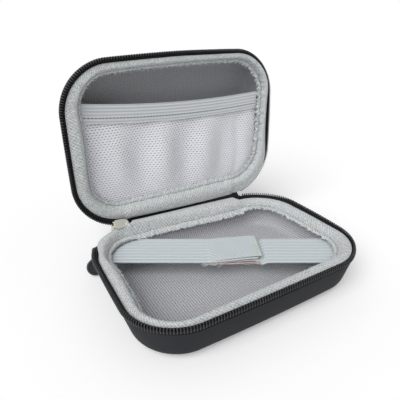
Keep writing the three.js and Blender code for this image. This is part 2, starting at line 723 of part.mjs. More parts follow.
const glucoseMeterCase = new THREE.Group();
glucoseMeterCase.position.z = HALF_DEPTH;
glucoseMeterCase.add(base, lid, hinged(LID_OPEN / 2, slider));

export default glucoseMeterCase;
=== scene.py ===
import math

import bmesh
import bpy
import numpy as np
from mathutils import Matrix, Vector


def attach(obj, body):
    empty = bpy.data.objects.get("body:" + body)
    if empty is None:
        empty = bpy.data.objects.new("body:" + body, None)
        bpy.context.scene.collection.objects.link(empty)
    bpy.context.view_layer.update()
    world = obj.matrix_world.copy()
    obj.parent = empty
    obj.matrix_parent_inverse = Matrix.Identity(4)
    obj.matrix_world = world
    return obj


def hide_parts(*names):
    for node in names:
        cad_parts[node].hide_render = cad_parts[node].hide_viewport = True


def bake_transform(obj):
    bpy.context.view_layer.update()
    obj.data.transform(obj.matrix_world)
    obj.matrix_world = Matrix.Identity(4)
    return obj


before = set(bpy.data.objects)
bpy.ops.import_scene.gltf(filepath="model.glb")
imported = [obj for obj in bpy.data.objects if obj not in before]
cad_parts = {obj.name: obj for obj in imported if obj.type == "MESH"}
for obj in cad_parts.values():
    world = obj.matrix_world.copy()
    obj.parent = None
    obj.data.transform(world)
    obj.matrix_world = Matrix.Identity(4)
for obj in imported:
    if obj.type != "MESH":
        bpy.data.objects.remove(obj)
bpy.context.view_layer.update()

# Hard zip case for a glucose meter, open with its lid upright.
# Sizes are in millimetres; an inset runs inwards from the rim, and a drop into a half from the zip plane.
# Meshes, and the sizes that node trees and finishes are given, are in metres.
MM = 0.001
TAU = 2 * math.pi
QUARTER = math.pi / 2
BASE = -1
LID = 1
BODY = {BASE: "base", LID: "lid"}

# Rim outline
CASE_LENGTH = 120
CASE_WIDTH = 83.6
CORNER_RADIUS = 24.5
END_BOW = 0.7
SIDE_BOW = 1.5
RIM_STRETCHES = 8
RIM_SAMPLES = 4800
REAR_EDGE = CASE_WIDTH / 2 + SIDE_BOW

# Moulded half
HALF_DEPTH = 20.5
WALL_DRAFT = math.radians(14)
FLOOR_RADIUS = 8.2
FLOOR_STEPS = 14
SHELL_WALL = 2.4
LIP_INSET = 1.7
LIP_THICKNESS = 0.9
LIP_DROP = 3.2
LIP_ROUND = 0.35
LIP_SOFTNESS = 0.3
REBATE_DROP = 6
LINING_THICKNESS = 0.6
SEAT_GAP = 0.3
LINING_OFFSET = SHELL_WALL + SEAT_GAP
CAVITY_OFFSET = LINING_OFFSET + LINING_THICKNESS
BOWL_STEPS = 260

# Zip
TOOTH_PITCH = 1.27
TEETH_THICKNESS = 1.6
TOOTH_REACH = 0.6
COIL_DROP = 2.6
COIL_WIRE = 0.3
COIL_ADVANCE = 0.06
COIL_LEAN = math.radians(8)
COIL_SETBACK = 0.1
CORE_HALF_WIDTH = 0.42
CORE_TOP = 0.95
CORE_SLOPE = 0.4
CORE_LOW = 2.3
TAPE_OUTER = 1.9
TAPE_INNER = 2.3
TAPE_DROP = 0.9
TAPE_BEND_DROP = 2.9
TAPE_FOOT_OUTER = 2.9
TAPE_FOOT_INNER = 3.3
TAPE_FOOT_MIDDLE = (TAPE_FOOT_OUTER + TAPE_FOOT_INNER) / 2
TAPE_LOW = 5.7
ZIP_STEPS = 330
SLACK_START = 19
SLACK_END = 31
SLACK_FALL = math.radians(60)
TUCK_DEPTH = 1.4
CHAIN_START = 8.7
MOUTH_REACH = 2.4
STOP_LENGTH = 3.2
STOP_OUTER = 0.15
STOP_TOP = 0.45
STOP_LOW = 2.6
STOP_ROUND = 0.1
STOP_SEAT = 0.05
STOP_SLIM = 0.82
STOP_SWELL = (0, 0.9, 1, 1, 1, 1, 1, 0.9, 0)

# Hinge
HINGE_INSET = 0.5
HINGE_Y = REAR_EDGE - HINGE_INSET
HINGE_TAPE_THICKNESS = 0.4
HINGE_TAPE_STEPS = 150
HINGE_END_MARGIN = 0.5
HINGE_OVERRUN = 1.8
HINGE_FADE = 3

# Knit binding: its shoulder by the zip or the hinge, its roll up to the seam, and its raw flange
BINDING_STEPS = 900
BINDING_OUTER = 3.6
BINDING_TAIL_DROP = 7
SLIM_SHOULDER = (3.6, 3.6)
FULL_SHOULDER = (2.85, 1.3)
HINGE_SHOULDER = (1.15, 0.4)
SPREAD_INSET = 0.4
HINGE_FOLD_SHIFT = {BASE: (-0.45, -2.0), LID: (1.9, 0.6)}
HINGE_FOLD_LIFT = {BASE: 1.5, LID: 0}
FOOT_STEP = 0.2
CROWN_DROP = 0.95
HINGE_LIFT = 0.9
SPREAD_LIFT = 0.6
FULL_LIFT = 0.3
RISE_FULLNESS = 0.7
RISE_STEPS = 10
FALL_FULLNESS = 0.6
FALL_SAG = 0.1
FALL_STEPS = 9
SEAM_DROP = 4.1
SEAM_WIDTH = 1.6
FLANGE_BEND = 0.4
FLANGE_CURL = 0.5
FLANGE_STEPS = 8
BRIM_DROP = 4.2
BRIM_THICKNESS = 0.8
BRIM_ROUND = 0.25
HINGE_BRIM_SAG = 0.6
DROOP = {BASE: 1.0, LID: 0.2}
UNDER_STEPS = 7
PLAIN_FULLNESS = 0.5
PLAIN_BRIM = 10.2
PLAIN_FLANGE = 2
SWAY_FADE = 3

# The base's roll where the fold pushes it up in front of the slider
SWELL_HINGE = 1.6
SWELL_CORNER = 1.9
SWELL_ZIP = 1.0
SWELL_HINGE_FADE = 14
SWELL_CORNER_REACH = 10
SWELL_ZIP_END = 24
SWELL_ZIP_FADE = 16
SWELL_PEAK_WIDTH = 4
SWELL_SHOULDER = (0.6, -0.7)

# Crumpled edge: waves as their counts round the rim and their phases, and how far they move the cloth
EDGE_WAVE = ((43, 71, 113), (0.9, 0.4, 2.1))
EDGE_FRAY = ((97, 151, 211), (1.3, 0.2, 3.6))
SEAM_PUCKER = ((190, 263), (0.0, 1.7))
WAVE_HEIGHT = 0.4
PUCKER_HEIGHT = 0.16
FRAY_REACH = 0.5
SEAM_WANDER = 0.2
SEAM_STITCH_PITCH = 1.9
SEAM_STITCH_LIFT = 0.12
FRAY_PITCH = 0.8
FRAY_ROOT = 0.15
FRAY_BEND = 0.45
FRAY_SHORTEST = 0.35

# Soft shape of the open rim, at even places along it from the slider's corner round to the hinge
SWAY = {BASE: (0, 0.3, 0.6, 1.4, 1.0, 0.1, 0, 0), LID: (0, 0.9, 1.7, 0.8, 1.7, 1.3, 0.3, 0)}
FULLNESS = {BASE: (0.5, 0.6, 0.5, 0.4, 0.7, 0.9, 0.5, 0.5), LID: (0.7, 1, 1, 1, 1, 1, 1, 0.7)}
BRIM = {
    BASE: (6.6, 8.4, 10.6, 10.2, 8.8, 8.2, 9.6, 10.2, 10.2, 10.4, 10.8, 11.4, 12.4, 12.8, 12.8, 8.8),
    LID: (11.2, 10.8, 11.4, 11.9, 10.8, 9.2, 8.2, 7.9, 7.9, 7.9, 8.1, 8.8, 10.4, 11.6, 12.2, 12.2),
}
FLANGE = {BASE: (1.4, 1, 0.9, 1, 1.2, 2.2, 2.8, 2.6), LID: (1.2, 1, 1, 1.2, 1.8, 2.2, 2.2, 2.2)}
TUCK = {
    BASE: (0.3, 0, 0, 0, 0, 0, 0, 0.15, 0.5, 0.4, 0.05, 0, 0, 0, 0, 0),
    LID: (0, 0, 0, 0, 0, 0, 0, 0.1, 0.5, 0.75, 0.1, 0.1, 0.7, 1, 0.6, 0),
}
RAGGED = {BASE: (0.9, 0.8, 0.5, 0.5, 0.8, 1.7, 2.3, 0.9), LID: (1, 0.5, 0.7, 1, 2.1, 2.4, 2.2, 1.2)}
SOFT_REACH = 6
SOFT_SAMPLES = 9

# Mesh pocket in the lid
POCKET_HEIGHT = 63.3
POCKET_TILT = math.radians(2.5)
POCKET_SAG = 2.6
MESH_EDGE_INSET = 7.4
MESH_DROP = 6.75
MESH_CORNER = 35
MESH_FOLDS = 4
MESH_FOLD_DEPTH = 2.8
MESH_FOLD_LEAN = 0.5
MESH_RIPPLE = 0.35
MESH_RIPPLE_TURN = 13
MESH_RIPPLE_LEAN = 4
MESH_CREASE = 1.6
MESH_CREASE_PLACE = 0.8
MESH_CREASE_LEAN = 0.06
MESH_CREASE_WIDTH = 0.06
MESH_CELL = 1.0
MESH_PITCH = 1.79
MESH_ROW = 1.29
MESH_COLUMNS = 34
MESH_ROWS = 56
MESH_HOLE = 0.5
MESH_SQUASH = 0.6
MESH_JOIN = 0.05
MESH_YARN = 0.4
MESH_START = 0.5
MESH_END_LAP = 0.3
MESH_TOP_LAP = 1.5

# Pocket's elastic edge
ELASTIC_HEIGHT = 9.3
ELASTIC_THICKNESS = 1
ELASTIC_EDGE_INSET = 8.1
ELASTIC_DROP = 5.2
RUFFLE_HEIGHT = 0.12
RUFFLE_LENGTH = 3.4
RUFFLE_START = 6.2
RUFFLE_FADE = 3
POCKET_STITCH_FALL = 6.5
POCKET_STITCH_PITCH = 1.75
POCKET_STITCH_MARGIN = 1.5
POCKET_STITCH_SINK = 0.1

# Strap in the tray
STRAP_WIDTH = 21
STRAP_THICKNESS = 1.2
STRAP_TURN = math.radians(-31.3)
STRAP_OFFSET = 4.5
STRAP_DROP = 6.5
STRAP_EDGE_INSET = 7.2
STRAP_SEAM = 19.7
STRAP_OVERLAP = 28
STRAP_RIBS = 8
LEFT_LENGTH = 70
LEFT_MARGIN = 1.2
LEFT_LIFT_LENGTH = 27
LEFT_SLIDE = 2.7
LEFT_NARROWING = 1.0
RIGHT_LENGTH = 60
RIGHT_DROP = STRAP_DROP + STRAP_THICKNESS + SEAT_GAP
RIGHT_RISE = 1.6
RIGHT_RISE_START = 1
RIGHT_RISE_LENGTH = 4.5
TAIL_NARROWING = 3.9
TAIL_START = 2.2
TAIL_LENGTH = 2.6

# The strap's sewn fold, its stitches and its loose threads
FOLD_LENGTH = 26
FOLD_MARGIN = 0.4
FOLD_SETBACK = 0.3
FOLD_HEIGHT = 0.22
FOLD_RISE = 0.5
FOLD_SINK = 0.6
FOLD_SINK_LENGTH = 4
FOLD_SKEW = 0.1
FOLD_WAVE = 0.06
FOLD_WAVE_ALONG = 2.1
FOLD_WAVE_ACROSS = 3
SEW_COUNT = 13
SEW_ROWS = (0.6, 2.4)
SEW_LOW_MARGIN = 0.6
SEW_HIGH_MARGIN = 0.9
SEW_HALF_WIDTH = 0.5
SEW_FOLD_START = 3.6
SEW_FOLD_HEIGHT = 1.0
SEW_STRAP_HEIGHT = 0.2
THREAD_COUNT = 4
THREAD_START = -6.5
THREAD_STAGGER = 4
THREAD_TRIM = 1.5
THREAD_SPAN = 26
THREAD_LOW = 0.6
THREAD_SPACING = 0.62
THREAD_FAN = 0.6
THREAD_SLOPE = 0.5
THREAD_SWAY = 0.22
THREAD_HANG = 0.9
THREAD_HANG_LENGTH = 7
THREAD_DROP = 1.05
THREAD_LAYER = 0.12
THREAD_WAVE = 0.1
THREAD_RADIUS = 0.12
FRAYED_COUNT = 14
FRAYED_LENGTH = 8
FRAYED_DROP = 1.2

# Slider
SLIDER_CENTRE = 4
SLIDER_LENGTH = 8.4
SLIDER_HALF_WIDTH = 2.6
SLIDER_CORNER = 2.3
SLIDER_TAPER = 0.1
SLIDER_TAPER_START = 0.5
SLIDER_TAPER_LENGTH = 3.5
SLIDER_PLATE = 1
SLIDER_EDGE = 0.4
SLIDER_DOME = 0.25
SLIDER_CHANNEL = 3
SLIDER_SINK = 0.2
SLIDER_ROOT = 0.5
SLIDER_VOXEL = 0.14
WEDGE_START = -3.2
WEDGE_END = -1.4
WEDGE_HALF_WIDTH = 0.8
GUIDE_START = -2
GUIDE_END = 1.8
GUIDE_REACH = 0.7
GUIDE_WIDTH = 0.5
GUIDE_MARGIN = 0.05
CROWN_LENGTH = 6
CROWN_OPENING = 2.8
CROWN_BAR = 1
CROWN_HALF_WIDTH = 0.6
CROWN_ROUND = 0.15

# Pull: wire link and moulded tab
PULL_OFFSET = 0.5
PULL_SWING = math.radians(47.6)
PULL_LIFT = math.radians(17.5)
LINK_WIRE = 0.9
LINK_CLEARANCE = 0.9
LINK_HOLE_LENGTH = 7
LINK_HOLE_WIDTH = 3.2
LINK_HOLE_CORNER = 0.5
LINK_HEEL = CROWN_HALF_WIDTH / math.sin(PULL_SWING) / math.cos(PULL_LIFT) + LINK_CLEARANCE
LINK_REACH = LINK_HOLE_LENGTH - LINK_HEEL + LINK_WIRE / 2
TAB_THICKNESS = 2
TAB_EDGE = 0.5
TAB_LIP = 1.0
TAB_PANEL = 1.25
TAB_PANEL_DEPTH = 0.28
TAB_EYE_RADIUS = 0.85
TAB_EYE_WALL = 1.1
TAB_NECK = 8
TAB_LENGTH = 20.9
TAB_WIDTH = 8.8

# Camera, fitted to the case as photographed, and light
CAMERA_SENSOR = 36
CAMERA_LENS = 33.41
CAMERA_PLACE = (-0.0853, -0.1291, 0.1181)
CAMERA_AZIMUTH = math.radians(-29.06)
CAMERA_ELEVATION = math.radians(25.67)
CAMERA_ROLL = math.radians(-1.247)
KEY_PLACE = (-0.66, -0.42, 0.8)
KEY_STRENGTH = 2.15
KEY_SPREAD = math.radians(50)
WORLD_LIGHT = 0.4
FLOOR_REACH = 3
FLOOR_COLOUR = (0.95, 0.95, 0.953, 1)
FLOOR_GLOW = 0.17
WHITE = (1, 1, 1, 1)


# Curves and directions

def arc_lengths(points, wrap):
    ring = np.vstack([points, points[:1]]) if wrap else points
    return np.concatenate([[0], np.cumsum(np.linalg.norm(np.diff(ring, axis=0), axis=1))])


def unit(vectors):
    return vectors / np.linalg.norm(vectors, axis=-1, keepdims=True)


def rightward(tangent):
    """Direction to the right of a plan direction; out of the case along the rim."""
    return np.stack([tangent[..., 1], -tangent[..., 0]], -1)


def bezier(a, b, c, steps):
    t = np.linspace(0, 1, steps)[:, None]
    a, b, c = (np.array(p, float) for p in (a, b, c))
    return (1 - t) ** 2 * a + 2 * t * (1 - t) * b + t ** 2 * c


def arc(middle, radius, start, end, count):
    """Points of an arc round a place on the X axis."""
    angles = np.linspace(start, end, count)
    return np.stack([middle + radius * np.cos(angles), radius * np.sin(angles)], -1)


def ease(value):
    """Soft step from 0 to 1."""
    value = np.clip(value, 0, 1)
    return value * value * (3 - 2 * value)


# Rim: place, direction and length along it

def corner_point(corner, along):
    middle = (corner + 1.5) * QUARTER
    angle = (corner + 1 + along) * QUARTER
    x = np.sign(np.cos(middle)) * (CASE_LENGTH / 2 - CORNER_RADIUS) + CORNER_RADIUS * np.cos(angle)
    y = np.sign(np.sin(middle)) * (CASE_WIDTH / 2 - CORNER_RADIUS) + CORNER_RADIUS * np.sin(angle)
    return np.stack([x, y], axis=-1)


def rim_outline():
    t = np.linspace(0, RIM_STRETCHES, RIM_SAMPLES + 1)
    stretch = np.minimum(t.astype(int), RIM_STRETCHES - 1)
    along = t - stretch
    corner = stretch // 2
    start, end = corner_point(corner, 1.0), corner_point(corner + 1, 0.0)
    side = start + (end - start) * along[:, None]
    plain = np.where((stretch % 2 == 0)[:, None], corner_point(corner, along), side)
    from_end = 1 - (2 * plain[:, 1] / CASE_WIDTH) ** 2
    from_side = 1 - (2 * plain[:, 0] / CASE_LENGTH) ** 2
    bow = np.stack([2 * END_BOW / CASE_LENGTH * from_end, 2 * SIDE_BOW / CASE_WIDTH * from_side], axis=-1)
    return plain * (1 + bow)


RIM = rim_outline()
RIM_S = arc_lengths(RIM, wrap=False)
RIM_LENGTH = RIM_S[-1]
RIM_TANGENT = unit(np.roll(RIM[:-1], -1, axis=0) - np.roll(RIM[:-1], 1, axis=0))
RIM_TANGENT = np.vstack([RIM_TANGENT, RIM_TANGENT[:1]])


def length_at(stretch):
    return RIM_S[stretch * RIM_SAMPLES // RIM_STRETCHES]


HINGE_START = length_at(RIM_STRETCHES - 1)
STOP_START = HINGE_START - STOP_LENGTH
CHAIN_END = STOP_START - SEAT_GAP


def rim_at(s):
    s = np.mod(s, RIM_LENGTH)
    x, y, tx, ty = (np.interp(s, RIM_S, line[:, k]) for line in (RIM, RIM_TANGENT) for k in (0, 1))
    return np.stack([x, y], -1), np.stack([tx, ty], -1)


def inset_line(s, inset):
    """Plan places on the rim, moved inwards."""
    point, tangent = rim_at(s)
    return point - rightward(tangent) * np.asarray(inset)[..., None]


def stand(side, x, y, drop):
    """Plan place and drop from the zip plane to the open case."""
    x, y, drop = np.broadcast_arrays(np.asarray(x, float), y, drop)
    if side == BASE:
        return np.stack([x, y, HALF_DEPTH - drop], -1)
    return np.stack([x, HINGE_Y + drop, HALF_DEPTH + HINGE_Y - y], -1)


def face(side, x, y, z):
    """Direction in the closed case to the open case; z points away from the other half."""
    x, y, z = np.broadcast_arrays(np.asarray(x, float), y, z)
    if side == BASE:
        return np.stack([x, y, -z], -1)
    return np.stack([x, z, -y], -1)


def on_rim(side, s, inset, drop):
    plan = inset_line(s, inset)
    return stand(side, plan[..., 0], plan[..., 1], drop)


def along_rim(values, s):
    """Soft value at places along the rim, from values at even places along its stretches."""
    spread = np.linspace(-SOFT_REACH, SOFT_REACH, SOFT_SAMPLES)
    places = np.mod(np.asarray(s, float)[..., None] + spread, RIM_LENGTH)
    stretch = np.interp(places, RIM_S, np.linspace(0, RIM_STRETCHES, len(RIM_S)))
    middles = (np.arange(-1, len(values) + 1) + 0.5) * RIM_STRETCHES / len(values)
    return np.interp(stretch, middles, (values[-1], *values, values[0])).mean(axis=-1)


# Meshes

def piece(name, points, faces, finish, uv=None, sharp=None):
    """Smooth closed mesh in place; uv has one pair for each face corner, and sharp is an angle in degrees."""
    mesh = bpy.data.meshes.new(name)
    mesh.from_pydata((np.asarray(points) * MM).tolist(), [], faces)
    if uv is not None:
        layer = mesh.uv_layers.new(name="cloth")
        layer.data.foreach_set("uv", np.asarray(uv, np.float32).ravel())
    mesh.materials.append(finish)
    mesh.polygons.foreach_set("use_smooth", np.ones(len(mesh.polygons), bool))
    work = bmesh.new()
    work.from_mesh(mesh)
    bmesh.ops.recalc_face_normals(work, faces=work.faces)
    work.to_mesh(mesh)
    work.free()
    if sharp is not None:
        mesh.set_sharp_from_angle(angle=math.radians(sharp))
    obj = bpy.data.objects.new(name, mesh)
    bpy.context.scene.collection.objects.link(obj)
    return obj


def loft(rings, loop, across=None, along=None):
    """Quads between closed rings of points; loop joins the last ring to the first."""
    count, size = rings.shape[:2]
    rows = np.arange(count if loop else count - 1)
    r, c = (grid.ravel() for grid in np.meshgrid(rows, np.arange(size), indexing="ij"))
    corners = [(r, c), (r, c + 1), (r + 1, c + 1), (r + 1, c)]
    faces = np.stack([(i % count) * size + j % size for i, j in corners], -1)
    uv = None
    if across is not None:
        uv = np.stack([np.stack([along[i], across[j]], -1) for i, j in corners], 1).reshape(-1, 2)
    return rings.reshape(-1, 3), faces.tolist(), uv


def capped(rings, across=None, along=None):
    """Quads between closed rings of points, with a face on the first ring and on the last."""
    points, faces, uv = loft(rings, False, across, along)
    size = rings.shape[1]
    ends = [list(range(size)), list(range(len(points) - size, len(points)))]
    if uv is not None:
        uv = np.vstack([uv, np.zeros((2 * size, 2))])
    return points, faces + ends, uv


def merged(parts):
    """Points and faces of several parts as one list each."""
    points, faces, count = [], [], 0
    for vertices, polygons in parts:
        points.append(vertices)
        faces += [[count + i for i in polygon] for polygon in polygons]
        count += len(vertices)
    return np.vstack(points), faces


def vertex_places(mesh):
    co = np.zeros(len(mesh.vertices) * 3)
    mesh.vertices.foreach_get("co", co)
    return co.reshape(-1, 3) / MM


def mapped(obj, change):
    """Moves a flat piece's vertices to their place."""
    mesh = obj.data
    mesh.vertices.foreach_set("co", (change(vertex_places(mesh)) * MM).ravel())
    mesh.update()


def settled(obj):
    """Turns the modifiers' result into the piece's own mesh."""
    view = bpy.context.evaluated_depsgraph_get()
    mesh = bpy.data.meshes.new_from_object(obj.evaluated_get(view))
    mesh.name = obj.name
    obj.modifiers.clear()
    obj.data = mesh
    return obj


def thickened(obj, label, thickness):
    """Gives a sheet its thickness, half to each side."""
    wall = obj.modifiers.new(label, "SOLIDIFY")
    wall.thickness = thickness * MM
    wall.offset = 0
    return settled(obj)


def finished(obj, body, slot, *nodes):
    """Puts a finished piece on its body and hides the nodes it stands for; slot is not used."""
    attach(obj, body)
    if nodes:
        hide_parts(*nodes)
    return obj


# Node trees

def add(tree, kind, inputs=None, **settings):
    node = tree.nodes.new(kind)
    for key, value in settings.items():
        setattr(node, key, value)
    for key, value in (inputs or {}).items():
        socket = node.inputs[key]
        if isinstance(value, bpy.types.NodeSocket):
            tree.links.new(value, socket)
        else:
            socket.default_value = value
    return node


def maths(tree, operation, *values):
    return add(tree, "ShaderNodeMath", dict(enumerate(values)), operation=operation).outputs[0]


def vector(tree, **parts):
    return add(tree, "ShaderNodeCombineXYZ", parts).outputs[0]


def changed(tree, shape, **change):
    return add(tree, "GeometryNodeTransform", {"Geometry": shape, **change}).outputs[0]


def bent_line(tree, start, middle, end):
    points = {"Resolution": 4, "Start": start, "Middle": middle, "End": end}
    return add(tree, "GeometryNodeCurveQuadraticBezier", points).outputs[0]


def round_thread(tree, line, radius, sides):
    section = add(tree, "GeometryNodeCurvePrimitiveCircle", {"Resolution": sides, "Radius": radius})
    swept = {"Curve": line, "Profile Curve": section.outputs[0], "Fill Caps": True}
    return add(tree, "GeometryNodeCurveToMesh", swept).outputs[0]


def facing(tree):
    """Rotation from the places' own directions."""
    along, up = (
        add(tree, "GeometryNodeInputNamedAttribute", {"Name": name}, data_type="FLOAT_VECTOR").outputs[0]
        for name in ("along", "up"))
    axes = {"Primary Axis": along, "Secondary Axis": up}
    return add(tree, "FunctionNodeAxesToRotation", axes, primary_axis="X", secondary_axis="Z").outputs[0]


def set_out(tree, given, shape, **turn):
    """One copy of a shape at each place."""
    copies = {"Points": given["Places"], "Instance": shape, **turn}
    return add(tree, "GeometryNodeInstanceOnPoints", copies).outputs[0]


def maker(name, lengths, counts=()):
    """Geometry node tree with its named sizes; returns the tree and what it is given."""
    tree = bpy.data.node_groups.new(name, "GeometryNodeTree")
    kinds = {"Places": "Geometry", **dict.fromkeys(lengths, "Float"), **dict.fromkeys(counts, "Int")}
    for label, kind in {**kinds, "Finish": "Material"}.items():
        tree.interface.new_socket(label, in_out="INPUT", socket_type=f"NodeSocket{kind}")
    tree.interface.new_socket("Made", in_out="OUTPUT", socket_type="NodeSocketGeometry")
    return tree, tree.nodes.new("NodeGroupInput").outputs


def close_tree(tree, given, made):
    real = add(tree, "GeometryNodeRealizeInstances", {"Geometry": made})
    smooth = add(tree, "GeometryNodeSetShadeSmooth", {"Geometry": real.outputs[0]})
    done = add(tree, "GeometryNodeSetMaterial", {"Geometry": smooth.outputs[0], "Material": given["Finish"]})
    out = tree.nodes.new("NodeGroupOutput")
    tree.links.new(done.outputs[0], out.inputs[0])
    return tree


def run_tree(name, tree, sizes, finish, places=None, along=None, up=None):
    """Makes a piece from a tree, at places with their own directions."""
    mesh = bpy.data.meshes.new(name)
    if places is not None:
        mesh.from_pydata((places * MM).tolist(), [], [])
        for label, vectors in (("along", along), ("up", up)):
            if vectors is not None:
                layer = mesh.attributes.new(label, "FLOAT_VECTOR", "POINT")
                layer.data.foreach_set("vector", np.asarray(vectors, np.float32).ravel())
    obj = bpy.data.objects.new(name, mesh)
    bpy.context.scene.collection.objects.link(obj)
    modifier = obj.modifiers.new("make", "NODES")
    modifier.node_group = tree
    given = {item.name: item.identifier for item in tree.interface.items_tree if item.in_out == "INPUT"}
    for label, value in sizes.items():
        modifier[given[label]] = value
    modifier[given["Finish"]] = finish
    return settled(obj)


def coil_tree():
    """Turns of the zip's coil: one flattened turn of wire at each place."""
    tree, given = maker("zip_coil", ("Pitch", "Height", "Depth", "Wire"))
    turn = add(tree, "GeometryNodeCurveSpiral", {
        "Resolution": 10, "Rotations": 1.0, "Start Radius": 1.0, "End Radius": 1.0, "Height": given["Pitch"],
    })
    tall, deep = (maths(tree, "MULTIPLY", given[size], 0.5) for size in ("Height", "Depth"))
    flat = changed(tree, turn.outputs[0], Scale=vector(tree, X=tall, Y=deep, Z=1.0))
    laid = changed(tree, flat, Rotation=(0.0, QUARTER, 0.0))
    wire = round_thread(tree, laid, given["Wire"], 5)
    return close_tree(tree, given, set_out(tree, given, wire, Rotation=facing(tree)))


def stitch_tree():
    """Sewn stitches: a short thread that dips at both ends."""
    tree, given = maker("stitches", ("Length", "Thread"))
    half = maths(tree, "MULTIPLY", given["Length"], 0.5)
    back = maths(tree, "MULTIPLY", half, -1.0)
    dip = maths(tree, "MULTIPLY", given["Thread"], -1.0)
    line = bent_line(
        tree, vector(tree, X=back, Z=dip), vector(tree, Z=given["Thread"]), vector(tree, X=half, Z=dip))
    thread = round_thread(tree, line, given["Thread"], 5)
    return close_tree(tree, given, set_out(tree, given, thread, Rotation=facing(tree)))


def fray_tree():
    """Loose ends of thread that leave a raw edge at odd angles."""
    tree, given = maker("frayed_ends", ("Length", "Thread", "Spread"), ("Seed",))
    bend = maths(tree, "MULTIPLY", given["Length"], FRAY_BEND)
    line = bent_line(tree, (0.0, 0.0, 0.0), vector(tree, X=bend, Z=bend), vector(tree, X=given["Length"]))
    thread = round_thread(tree, line, given["Thread"], 4)
    high, low = given["Spread"], maths(tree, "MULTIPLY", given["Spread"], -1.0)
    spin = add(tree, "FunctionNodeRandomValue", {
        0: vector(tree, X=-math.pi, Y=low, Z=low), 1: vector(tree, X=math.pi, Y=high, Z=high),
        "Seed": given["Seed"],
    }, data_type="FLOAT_VECTOR")
    grow = add(tree, "FunctionNodeRandomValue", {
        2: FRAY_SHORTEST, 3: 1.0, "Seed": given["Seed"],
    }, data_type="FLOAT")
    ends = set_out(tree, given, thread, Rotation=facing(tree), Scale=grow.outputs[1])
    turned = add(tree, "GeometryNodeRotateInstances", {"Instances": ends, "Rotation": spin.outputs[0]})
    return close_tree(tree, given, turned.outputs[0])


def perforated_tree():
    """Knitted mesh: one ring of yarn round each hole, joined to its neighbours."""
    tree, given = maker("perforated_mesh", ("Cell", "Wide", "Tall", "Hole", "Squash"))
    cell = add(tree, "GeometryNodeMeshCircle", {"Vertices": 6, "Radius": given["Cell"]}, fill_type="NGON")
    inner = add(tree, "GeometryNodeExtrudeMesh", {"Mesh": cell.outputs[0], "Offset Scale": 0.0}, mode="FACES")
    hole = inner.outputs["Top"]
    shrunk = add(tree, "GeometryNodeScaleElements", {
        "Geometry": inner.outputs[0], "Selection": hole, "Scale": given["Hole"],
    }, domain="FACE")
    flat = add(tree, "GeometryNodeScaleElements", {
        "Geometry": shrunk.outputs[0], "Selection": hole, "Scale": given["Squash"], "Axis": (1.0, 0.0, 0.0),
    }, domain="FACE", scale_mode="SINGLE_AXIS")
    opened = add(tree, "GeometryNodeDeleteGeometry", {
        "Geometry": flat.outputs[0], "Selection": hole,
    }, domain="FACE")
    turned = changed(tree, opened.outputs[0], Rotation=(0.0, 0.0, QUARTER))
    upright = changed(tree, turned, Scale=vector(tree, X=given["Wide"], Y=given["Tall"], Z=1.0))
    real = add(tree, "GeometryNodeRealizeInstances", {"Geometry": set_out(tree, given, upright)})
    seam = maths(tree, "MULTIPLY", given["Cell"], MESH_JOIN)
    joined = add(tree, "GeometryNodeMergeByDistance", {"Geometry": real.outputs[0], "Distance": seam})
    return close_tree(tree, given, joined.outputs[0])


def ribbed_tree():
    """Flat elastic band with lengthwise ribs."""
    tree, given = maker("ribbed_elastic", ("Length", "Width", "Ribs", "Relief"), ("Steps", "Rows"))
    sheet = add(tree, "GeometryNodeMeshGrid", {
        "Size X": given["Length"], "Size Y": given["Width"],
        "Vertices X": given["Steps"], "Vertices Y": given["Rows"],
    })
    place = add(tree, "ShaderNodeSeparateXYZ", {0: add(tree, "GeometryNodeInputPosition").outputs[0]})
    share = maths(tree, "DIVIDE", place.outputs["Y"], given["Width"])
    phase = maths(tree, "MULTIPLY", maths(tree, "MULTIPLY", share, given["Ribs"]), TAU)
    lift = maths(tree, "MULTIPLY", maths(tree, "COSINE", phase), given["Relief"])
    ribbed = add(tree, "GeometryNodeSetPosition", {
        "Geometry": sheet.outputs[0], "Offset": vector(tree, Z=lift),
    })
    return close_tree(tree, given, ribbed.outputs[0])


COILS = coil_tree()
STITCHES = stitch_tree()
FRAY = fray_tree()
PERFORATED = perforated_tree()
RIBBED = ribbed_tree()


# Finishes: colours are screen colours, 0 to 255, and cloth patterns are in millimetres of cloth

def new_finish(name, roughness, metallic=0.0, sheen=0.0, specular=0.5):
    material = bpy.data.materials.new(name)
    material.use_nodes = True
    tree = material.node_tree
    shader = tree.nodes["Principled BSDF"]
    looks = {
        "Roughness": roughness, "Metallic": metallic, "Sheen Weight": sheen, "Specular IOR Level": specular,
    }
    for label, value in looks.items():
        shader.inputs[label].default_value = value
    return material, tree, shader


def object_place(tree):
    return add(tree, "ShaderNodeTexCoord").outputs["Object"]


def cloth_place(tree):
    return add(tree, "ShaderNodeUVMap", uv_map="cloth").outputs[0]


def grain(tree, place, size, detail=2.0):
    """Soft noise of a given size, from 0 to 1."""
    return add(tree, "ShaderNodeTexNoise", {"Vector": place, "Scale": 1 / size, "Detail": detail}).outputs[0]


def crisp(tree, value):
    """Noise with its middle part spread to the full range."""
    return add(tree, "ShaderNodeMapRange", {"Value": value, "From Min": 0.3, "From Max": 0.7}).outputs[0]


def ribs(tree, place, direction, wander=None, amount=0.0):
    """Parallel ribs from 0 to 1, across a direction given as ribs for each unit of place."""
    turns = {0: place, 1: tuple(TAU * d for d in direction)}
    phase = add(tree, "ShaderNodeVectorMath", turns, operation="DOT_PRODUCT").outputs["Value"]
    if wander is not None:
        phase = maths(tree, "MULTIPLY_ADD", wander, amount, phase)
    return maths(tree, "MULTIPLY_ADD", maths(tree, "SINE", phase), 0.5, 0.5)


def blended(tree, a, b, share):
    """Two patterns in one, as a share of the first."""
    return maths(tree, "MULTIPLY_ADD", b, 1 - share, maths(tree, "MULTIPLY", a, share))


